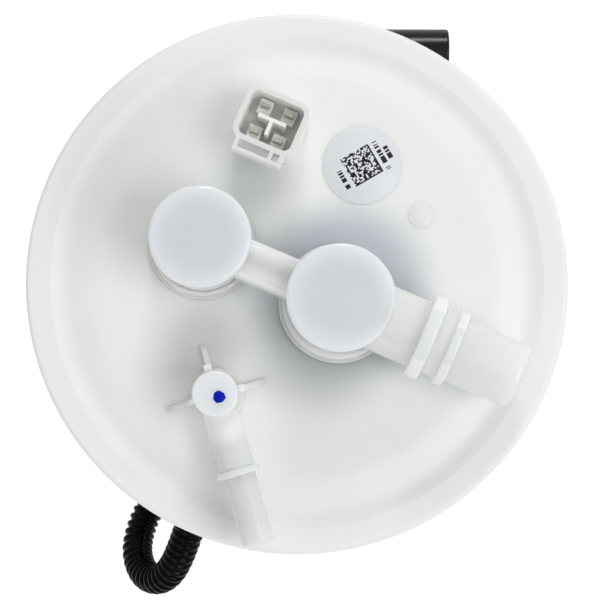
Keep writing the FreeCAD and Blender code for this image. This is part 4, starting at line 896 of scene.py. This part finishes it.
@dataclass
class FeedHose(Assembly):
    """The corrugated feed hose, from the flange's nipple out past the rim and back to the filter's outlet."""

    route: tuple[Point, ...] = (
        (-6.8, -33.4, -6.0),
        (-6.8, -33.4, -29.0),
        (-4.2, -51.0, -40.0),
        (-1.4, -69.5, -46.0),
        (-1.6, -84.0, -55.0),
        (-8.6, -87.6, -66.0),
        (-15.6, -80.0, -74.5),
        (-15.4, -63.0, -78.5),
        (-13.0, -47.0, -76.0),
        (-13.0, -33.0, -76.0),
    )
    steps_per_point: int = 24
    diameter: float = 8.5 * MM
    valley: float = 0.62 * MM
    pitch: float = 2.15 * MM
    cuff: float = 11.0 * MM
    # Straight length below the nipple
    held: float = 22.0 * MM
    rings_per_rib: int = 8
    sides: int = 32

    def centreline(self) -> bpy.types.Mesh:
        """Gives the smooth line that the route steers, as a mesh of edges only."""
        curve = bpy.data.curves.new("feed_hose_route", "CURVE")
        curve.dimensions = "3D"
        curve.resolution_u = self.steps_per_point
        spline = curve.splines.new("NURBS")
        spline.points.add(len(self.route) - 1)
        for point, place in zip(spline.points, self.route):
            point.co = (*millimetres(*place), 1.0)
        spline.order_u = 3
        spline.use_endpoint_u = True
        holder = link_object("feed_hose_route", curve)
        mesh = evaluated_mesh(holder)
        bpy.data.objects.remove(holder)
        return mesh

    def tree(self) -> ShapeTree:
        """Writes the tree that sweeps a ribbed tube with plain cuffs along a chain of edges."""
        tree = ShapeTree("corrugated_tube", Radius=self.diameter / 2, Valley=self.valley, Pitch=self.pitch,
                         Cuff=self.cuff, Rings=400, Sides=self.sides, Length=0.15)
        line = tree.add("GeometryNodeMeshToCurve", {"Mesh": tree["Geometry"]})
        even = tree.add("GeometryNodeResampleCurve", {"Curve": line.outputs[0], "Count": tree["Rings"]})
        along = Sum(tree, tree.add("GeometryNodeSplineParameter").outputs["Length"])
        wave = tree.maths("SINE", along / tree["Pitch"] * FULL_TURN)
        # The wave is cut off above and below, which makes its crests and valleys flat
        crest = tree.maths("MULTIPLY_ADD", wave, 0.9, 0.5, clamp=True)
        past_cuffs = tree.maths("MINIMUM", along - tree["Cuff"], tree["Length"] - tree["Cuff"] - along)
        ribbed = tree.maths("DIVIDE", past_cuffs, tree["Pitch"], clamp=True)
        tree.sweep(even.outputs[0], 1.0, tree["Radius"] - crest * tree["Valley"] * ribbed)
        return tree

    def build(self) -> None:
        line = self.centreline()
        path = [vertex.co.copy() for vertex in line.vertices]
        length = sum((after - before).length for before, after in zip(path, path[1:]))
        hose = self.tree().make("feed_hose_corrugated", self.paints[Finish.HOSE_NYLON], line, Length=length,
                                Rings=int(length / self.pitch * self.rings_per_rib))
        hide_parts("feed_hose")
        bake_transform(hose)
        LOG.info("feed hose is %.1f mm long", length / MM)


@dataclass(frozen=True)
class Coil:
    """A kind of spring: its wire's radius, its turns, how many of them lie closed at each end, and its steps."""

    wire: float
    turns: float
    dead: float
    steps: int


@dataclass
class CoilSprings(Assembly):
    """Round-wire springs with closed ends, for the guides and for both float valves."""

    guide: Coil = Coil(0.00075, 12.0, 1.0, 336)
    valve: Coil = Coil(0.0004, 2.4, 0.5, 95)
    wire_sides: int = 14
    slide: float = 0.025

    def tree(self) -> ShapeTree:
        """Writes the tree that winds one spring about its own axis."""
        tree = ShapeTree("closed_coil", CentreX=0.0, CentreY=0.0, Low=0.0, High=0.05, Radius=0.005, Wire=0.0007,
                         Turns=10.0, Dead=1.0, Steps=300, Sides=self.wire_sides)
        line = tree.add("GeometryNodeMeshLine", {"Count": tree["Steps"]})
        index = Sum(tree, tree.add("GeometryNodeInputIndex").outputs[0])
        turn = index / (tree["Steps"] - 1.0) * tree["Turns"]
        active, thick = tree["Turns"] - tree["Dead"] * 2.0, tree["Wire"] * 2.0
        past = turn - tree["Dead"]
        dead_low = tree.maths("MINIMUM", turn, tree["Dead"])
        open_part = tree.maths("MINIMUM", tree.maths("MAXIMUM", past, 0.0), active)
        dead_high = tree.maths("MAXIMUM", past - active, 0.0)
        pitch = (tree["High"] - tree["Low"] - thick - thick * tree["Dead"] * 2.0) / active
        height = tree["Low"] + tree["Wire"] + (open_part * pitch + (dead_low + dead_high) * thick)
        angle = turn * FULL_TURN
        place = tree.joined(tree.maths("COSINE", angle) * tree["Radius"] + tree["CentreX"],
                            tree.maths("SINE", angle) * tree["Radius"] + tree["CentreY"], height)
        wound = tree.add("GeometryNodeSetPosition", {"Geometry": line.outputs[0], "Position": place})
        tree.sweep(tree.add("GeometryNodeMeshToCurve", {"Mesh": wound.outputs[0]}).outputs[0], tree["Wire"])
        return tree

    def build(self) -> None:
        """Makes the four springs, and gives each guide spring a mesh of its own."""
        tree = self.tree()
        for node, coil in (("guide_spring_right", self.guide), ("guide_spring_left", self.guide),
                           ("fill_valve_spring", self.valve), ("roll_valve_spring", self.valve)):
            room = Room(node)
            spring = tree.make(f"{node}_coil", self.paints[Finish.SPRING_STEEL], CentreX=room.centre.x,
                               CentreY=room.centre.y, Low=room.low.z, High=room.high.z,
                               Radius=room.size.x / 2 - coil.wire, Wire=coil.wire, Turns=coil.turns,
                               Dead=coil.dead, Steps=coil.steps)
            self.seat(spring, Body.FLANGE, Finish.SPRING_STEEL, node)
            if coil is self.guide:
                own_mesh(spring)


@dataclass
class SoftRings(Assembly):
    """The rubber rings: the two-lipped tank seal, the valve seals, the pump's cushion and sleeve.

    The sections' points are shares of the ring's width and height.
    """

    lipped: tuple[tuple[float, float], ...] = (
        (0.0, 1.0), (0.0, 0.25), (0.06, 0.06), (0.16, 0.0), (0.28, 0.06), (0.34, 0.25), (0.42, 0.34), (0.5, 0.37),
        (0.58, 0.34), (0.66, 0.25), (0.72, 0.06), (0.84, 0.0), (0.94, 0.06), (1.0, 0.25), (1.0, 1.0))
    rounded: tuple[tuple[float, float], ...] = (
        (0.1, 0.0), (0.9, 0.0), (1.0, 0.15), (1.0, 0.85), (0.9, 1.0), (0.1, 1.0), (0.0, 0.85), (0.0, 0.15))
    beaded: tuple[tuple[float, float], ...] = (
        (0.0, 0.1), (0.05, 0.0), (0.95, 0.0), (1.0, 0.12), (1.0, 0.7), (0.93, 0.85), (0.88, 1.0), (0.82, 0.86),
        (0.74, 0.76), (0.2, 0.76), (0.1, 0.86), (0.04, 1.0), (0.0, 0.9))
    round_steps: int = 24
    round_reach: float = 0.475
    sleeve_lips: int = 7
    sleeve_root: float = 0.45

    def moulded(self) -> list[tuple[float, float]]:
        """Gives a round section whose parting line stands out a little on both sides."""
        section = []
        for step in range(self.round_steps):
            angle = FULL_TURN * step / self.round_steps
            reach = self.round_reach if step % (self.round_steps // 2) else 0.5
            section.append((0.5 + reach * math.cos(angle), 0.5 + 0.5 * math.sin(angle)))
        return section

    def ribbed(self) -> list[tuple[float, float]]:
        """Gives a thin wall's section with equal lips on its outside."""
        section = [(0.1, 0.0)]
        for lip in range(self.sleeve_lips):
            section.extend((across, lip / self.sleeve_lips + up) for across, up in
                           ((self.sleeve_root, 0.02), (1.0, 0.05), (1.0, 0.09), (self.sleeve_root, 0.12)))
        return section + [(self.sleeve_root, 1.0), (0.0, 1.0), (0.0, 0.0)]

    def ring(self, node: str, inner: float, profile: Sequence[tuple[float, float]], body: Body,
             finish: Finish) -> None:
        """Turns one ring in its node's place.

        Args:
            node: The node that it stands for.
            inner: The node's inner radius in metres.
            profile: Points of the section, as shares of its width and height.
            body: The body that it rides on.
            finish: Its finish.
        """
        room = Room(node)
        width = room.size.x / 2 - inner
        section = [(inner + width * across, room.size.z * (up - 0.5)) for across, up in profile]
        self.seat(turned_piece(f"{node}_moulded", section, room.centre, self.paints[finish]), body, finish, node)

    def build(self) -> None:
        """Makes every ring."""
        for row in (("tank_seal", 0.0578, self.lipped, Body.FLANGE, Finish.SEAL_RUBBER),
                    ("pump_cushion", 0.013, self.rounded, Body.RESERVOIR, Finish.SOFT_RUBBER),
                    ("fill_valve_seal", 0.0021, self.beaded, Body.FILL_FLOAT, Finish.SOFT_RUBBER),
                    ("roll_valve_seal", 0.0021, self.beaded, Body.ROLL_FLOAT, Finish.SOFT_RUBBER),
                    ("regulator_seal", 0.004157, self.moulded(), Body.RESERVOIR, Finish.SEAL_RUBBER),
                    ("pump_sleeve", 0.01905, self.ribbed(), Body.RESERVOIR, Finish.SOFT_RUBBER)):
            self.ring(*row)


@dataclass
class StrainerBag(Assembly):
    """The strainer's bag: two layers of cloth welded together at a flat rim."""

    rings: int = 26
    rim: float = 0.9
    weld: float = 0.0004
    corner: float = 5.0
    dome_power: int = 5
    puckers: int = 24
    pucker_depth: float = 0.05
    pucker_power: int = 6

    def layer(self, room: Room, side: int) -> list[Vector]:
        """Gives one layer's corners: its middle, and its rings from the inside out.

        Args:
            room: The room of the strainer's node.
            side: One for the upper layer, minus one for the lower.

        Returns:
            The corners.
        """
        half = room.size / 2
        corners = [room.centre + Vector((0, 0, side * half.z))]
        for ring in range(1, self.rings + 1):
            share = ring / self.rings
            swell = max(0.0, 1 - (share / self.rim) ** self.dome_power) ** 0.5
            for step in range(AROUND):
                angle = FULL_TURN * step / AROUND
                cosine, sine = math.cos(angle), math.sin(angle)
                reach = share * (abs(cosine) ** self.corner + abs(sine) ** self.corner) ** (-1 / self.corner)
                depth = self.pucker_depth * share ** self.pucker_power
                pucker = 1 - depth * math.cos(self.puckers * angle) * swell
                height = self.weld + (half.z - self.weld) * swell * pucker
                corners.append(room.centre + Vector((half.x * reach * cosine, half.y * reach * sine, side * height)))
        return corners

    def build(self) -> None:
        """Makes the bag in the place of its solid."""
        room = Room("inlet_strainer")
        corners, faces = self.layer(room, 1) + self.layer(room, -1), []
        layer = len(corners) // 2
        edge = layer - AROUND
        for base in (0, layer):
            faces.extend(ring_faces(base + 1, self.rings, AROUND, closed=False))
        for step in range(AROUND):
            after = (step + 1) % AROUND
            faces.extend((base, base + 1 + step, base + 1 + after) for base in (0, layer))
            faces.append((edge + step, layer + edge + step, layer + edge + after, edge + after))
        bag = mesh_piece("inlet_strainer_bag", corners, faces, self.paints[Finish.STRAINER_CLOTH])
        self.seat(bag, Body.RESERVOIR, Finish.STRAINER_CLOTH, "inlet_strainer")


@dataclass
class FlangeTop(Assembly):
    """What shows on top of the flange: the label, the paint mark, the weld rings, the nubs and the faint pin mark."""

    label_radius: float = 0.00965
    label_thick: float = 0.00012
    mark_thick: float = 0.00008
    paint_radius: float = 0.00142
    paint_spot: Point = (-0.00555, -0.03370, 0.0192)
    pin_radius: float = 0.0031
    pin_spot: Point = (0.0214, 0.0266, PANEL)
    weld_soft: float = 0.0003
    nub_half: float = 0.0009
    nub_long: float = 0.0021
    nub_reach: float = 0.0050
    nub_heights: tuple[float, float] = (0.0140, 0.0176)
    nub_angles: tuple[float, float] = (math.radians(106.0), math.radians(12.0))

    def disc(self, name: str, radius: float, thick: float, centre: Point, finish: Finish,
             wobble: Callable[[float], float] = lambda angle: 1.0) -> None:
        """Lays a thin disc with a soft edge.

        Args:
            name: The piece's name.
            radius: Its radius.
            thick: Its thickness.
            centre: The middle of its underside.
            finish: Its finish.
            wobble: A factor on the radius for each angle.
        """
        profile = [(0.0, 0.0), (radius, 0.0), (radius, thick * 0.6), (radius - thick * 0.5, thick), (0.0, thick)]
        piece = turned_piece(name, profile, Vector(centre), self.paints[finish], wobble)
        self.seat(piece, Body.FLANGE, finish)

    def weld_ring(self, name: str, steps: Sequence[tuple[float, float]], inner: float, axis: Point) -> None:
        """Lays the stepped ring of the hot-plate weld round a valve's cap.

        Args:
            name: The piece's name.
            steps: Each step's radius and its height over the panel.
            inner: The ring's inner radius.
            axis: A point of the valve's axis, at height zero.
        """
        section, level, soft = [(inner, 0.0)], 0.0, self.weld_soft
        for radius, height in steps:
            section.extend([(radius, level), (radius, height - soft), (radius - soft, height)])
            level = height
        section.append((inner, level))
        piece = turned_piece(name, section, Vector((axis[0], axis[1], PANEL)), self.paints[Finish.CAP_NYLON])
        self.seat(piece, Body.FLANGE, Finish.CAP_NYLON)

    def nubs(self) -> None:
        """Stands the two square moulding nubs at the elbow's cap."""
        corners, faces = [], []
        for angle in self.nub_angles:
            faces.extend(ring_faces(len(corners), 2, 4, closed=False))
            faces.extend(range(base, base + 4) for base in (len(corners), len(corners) + 4))
            out = Vector((math.cos(angle + PHOTO_TURN), math.sin(angle + PHOTO_TURN), 0.0))
            side = Vector((-out.y, out.x, 0.0))
            start = Vector(COLUMN_AXIS) + out * self.nub_reach
            for height in self.nub_heights:
                for along, across in ((0, -1), (1, -1), (1, 1), (0, 1)):
                    corner = start + out * (self.nub_long * along) + side * (self.nub_half * across)
                    corners.append((corner.x, corner.y, height))
        piece = mesh_piece("elbow_nubs", corners, faces, self.paints[Finish.CAP_NYLON], smooth=False)
        self.seat(piece, Body.FLANGE, Finish.CAP_NYLON)

    def build(self) -> None:
        """Makes every piece of the top."""
        self.disc("round_label", self.label_radius, self.label_thick, (*LABEL_SPOT[:2], PANEL), Finish.LABEL_FILM)
        # Two waves of low height make the dab of paint uneven
        self.disc("paint_mark", self.paint_radius, self.mark_thick, self.paint_spot, Finish.PAINT,
                  lambda angle: 1 + 0.05 * math.sin(3 * angle + 0.6) + 0.03 * math.sin(7 * angle))
        self.disc("pin_mark", self.pin_radius, self.mark_thick, self.pin_spot, Finish.NYLON_SKIN)
        self.weld_ring("fill_weld_ring", ((0.0133, 0.0013), (0.0125, 0.0026)), inner=0.0112, axis=FILL_AXIS)
        self.weld_ring("vent_weld_ring", ((0.0146, 0.0014), (0.0137, 0.0028)), inner=0.0118, axis=VENT_AXIS)
        self.nubs()


@dataclass
class PlugPockets(Assembly):
    """The four raised pockets in the plug socket that hold the contact blades."""

    outer: tuple[float, float] = (0.0018, 0.0020)
    inner: tuple[float, float] = (0.00115, 0.00045)
    apart: tuple[float, float] = (0.0031, 0.0034)
    low: float = 0.0068
    high: float = 0.0112
    draft: float = 0.00015

    def build(self) -> None:
        """Makes the pockets as one piece."""
        centre, corners, faces = Room("plug_blades").centre, [], []
        drawn_in = (self.outer[0] - self.draft, self.outer[1] - self.draft)
        # Half sizes and height of each ring, up the outside and down into the blade's hole
        rings = ((self.outer, self.low), (drawn_in, self.high), (self.inner, self.high), (self.inner, self.low))
        for across, along in QUARTERS:
            faces.extend(ring_faces(len(corners), len(rings), len(QUARTERS)))
            for half, height in rings:
                corners.extend((centre.x + across * self.apart[0] + x * half[0],
                                centre.y + along * self.apart[1] + y * half[1], height) for x, y in QUARTERS)
        pockets = mesh_piece("plug_pockets", corners, faces, self.paints[Finish.PLUG_PLASTIC], smooth=False)
        self.seat(pockets, Body.FLANGE, Finish.PLUG_PLASTIC)


@dataclass
class CupRibs(Assembly):
    """The moulded stiffening ribs round the reservoir's wall, with a gap for the level sender."""

    wall_radius: float = 0.054
    proud: float = 0.0007
    wide: float = 0.0011
    low: float = -0.176
    high: float = -0.101
    count: int = 36
    clear_from: float = math.radians(98)
    clear_to: float = math.radians(129)

    def tree(self) -> ShapeTree:
        """Writes the tree that stands equal ribs on given points and turns them outwards."""
        tree = ShapeTree("standing_ribs", Proud=self.proud, Wide=self.wide, Tall=self.high - self.low)
        rib = tree.add("GeometryNodeMeshCube", {"Size": tree.joined(tree["Proud"] * 2.0, tree["Wide"], tree["Tall"])})
        place = tree.parted(tree.add("GeometryNodeInputPosition").outputs[0])
        turn = tree.joined(z=tree.maths("ARCTAN2", place[1], place[0]))
        tree.close(tree.stand(tree["Geometry"], rib, turn))
        return tree

    def build(self) -> None:
        """Makes the ribs."""
        angles = [FULL_TURN * number / self.count for number in range(self.count)]
        points = [(self.wall_radius * math.cos(angle), self.wall_radius * math.sin(angle), (self.low + self.high) / 2)
                  for angle in angles if not self.clear_from < angle < self.clear_to]
        mesh = bpy.data.meshes.new("rib_places")
        mesh.from_pydata(points, [], [])
        ribs = self.tree().make("reservoir_ribs", self.paints[Finish.CUP_NYLON], mesh)
        self.seat(ribs, Body.RESERVOIR, Finish.CUP_NYLON)


@dataclass
class SenderTracks(Assembly):
    """The printed contact bars of the level sender's card."""

    bars: int = 13
    pitch: float = 0.00155
    size: Point = (0.00012, 0.0046, 0.0007)
    # Middle of the topmost bar, before the turn about the flange's axis
    first: Point = (0.00072, 0.05995, -0.1172)

    def tree(self) -> ShapeTree:
        """Writes the tree that stacks equal bars downwards."""
        tree = ShapeTree("contact_bars", Bars=self.bars, Pitch=self.pitch, Turn=PHOTO_TURN)
        line = tree.add("GeometryNodeMeshLine", {"Count": tree["Bars"], "Offset": tree.joined(z=tree["Pitch"] * -1.0),
                                                 "Start Location": self.first})
        stack = tree.stand(line.outputs[0], tree.add("GeometryNodeMeshCube", {"Size": self.size}))
        turned = tree.add("GeometryNodeTransform", {"Geometry": stack, "Rotation": tree.joined(z=tree["Turn"])})
        tree.close(turned.outputs[0])
        return tree

    def build(self) -> None:
        """Makes the bars."""
        bars = self.tree().make("sender_contact_bars", self.paints[Finish.BRIGHT_STEEL])
        self.seat(bars, Body.RESERVOIR, Finish.BRIGHT_STEEL)


@dataclass
class Studio:
    """The plain pale floor, the soft lamps and the camera over the flange, in the photograph's directions."""

    camera_place: Point = (-3.07, -40.43, 433.0)
    camera_target: Point = (0.63, -4.73, 4.0)
    lens: float = 105.95
    sensor: float = 36.0
    clip: tuple[float, float] = (0.01, 20.0)
    floor_side: float = 6.0
    floor_gap: float = 0.0001
    floor_glow: float = 0.7
    glow_strength: float = 1.16
    sky: float = 0.57
    # Each lamp's name, place, power in watts and side in metres
    lamps: tuple[tuple[str, Point, float, float], ...] = (
        ("key_lamp", (760, -330, 1000), 6.4, 0.8),
        ("fill_lamp", (60, 880, 470), 2.6, 0.22),
        ("side_lamp", (-420, -640, 170), 0.8, 0.35),
    )

    def camera(self) -> None:
        """Places the camera as the photograph has it, with the picture's upright kept."""
        data = bpy.data.cameras.new("camera")
        data.lens, data.sensor_width = self.lens, self.sensor
        data.clip_start, data.clip_end = self.clip
        camera = link_object("camera", data)
        place = photo_to_frame(*self.camera_place)
        view = (photo_to_frame(*self.camera_target) - place).normalized()
        right = view.cross(photo_to_frame(0.0, 1.0)).normalized()
        turn = Matrix((right, right.cross(view), -view)).transposed()
        camera.matrix_world = Matrix.Translation(place) @ turn.to_4x4()
        bpy.context.scene.camera = camera

    def lamp(self, name: str, place: Vector, power: float, size: float) -> None:
        """Adds a soft square lamp that looks at the flange.

        Args:
            name: The lamp's name.
            place: Where it stands, in metres.
            power: Its power in watts.
            size: Its side in metres.
        """
        data = bpy.data.lights.new(name, "AREA")
        data.energy, data.size = power, size
        lamp = link_object(name, data)
        lamp.location = place
        lamp.rotation_euler = (-place).to_track_quat("-Z", "Y").to_euler()

    def backdrop_share(self, tree: NodeTree) -> Sum:
        """Gives one for rays from the camera and through glass, and zero for rays that light the object."""
        path = tree.add("ShaderNodeLightPath")
        return tree.maths("MAXIMUM", path.outputs["Is Camera Ray"], path.outputs["Is Transmission Ray"])

    def floor(self) -> None:
        """Lays the floor just under the reservoir's feet."""
        level, half = cad_box[0][2] - self.floor_gap, self.floor_side / 2
        corners = [(x * half, y * half, level) for x, y in QUARTERS]
        shader = Shader("floor_card", Roughness=0.9, Specular_IOR_Level=0.1, Base_Color=from_screen(244, 244, 244))
        glow = shader.add("ShaderNodeEmission", {"Strength": self.glow_strength})
        mix = shader.add("ShaderNodeMixShader", {0: self.backdrop_share(shader) * self.floor_glow,
                                                 1: shader.principled.outputs[0], 2: glow.outputs[0]})
        shader.feed(shader.tree.nodes["Material Output"].inputs["Surface"], mix.outputs[0])
        mesh_piece("floor", corners, [(0, 1, 2, 3)], shader.material, smooth=False)

    def world(self) -> None:
        """Makes the sky a plain soft light that the camera sees as white."""
        world = bpy.data.worlds.new("studio")
        world.use_nodes = True
        bpy.context.scene.world = world
        tree, background = NodeTree(world.node_tree), world.node_tree.nodes["Background"]
        background.inputs["Color"].default_value = (1.0, 1.0, 1.0, 1.0)
        tree.feed(background.inputs["Strength"], self.backdrop_share(tree) * (1.0 - self.sky) + self.sky)

    def build(self) -> None:
        """Sets up the whole studio."""
        self.camera()
        self.floor()
        self.world()
        for name, place, power, size in self.lamps:
            self.lamp(name, photo_to_frame(*place), power, size)
        bpy.context.scene.view_settings.view_transform = "Standard"


def main() -> None:
    """Builds the studio, dresses the frame and adds each sub-assembly's pieces in order."""
    logging.basicConfig(level=logging.INFO, format="%(name)s: %(message)s")
    paints = build_paints(Effects())
    Studio().build()
    dress_nodes(paints)
    for assembly in (FeedHose, FlangeTop, PlugPockets, CoilSprings, SoftRings, CupRibs, StrainerBag, SenderTracks):
        assembly(paints).build()


if __name__ == "__main__":
    main()
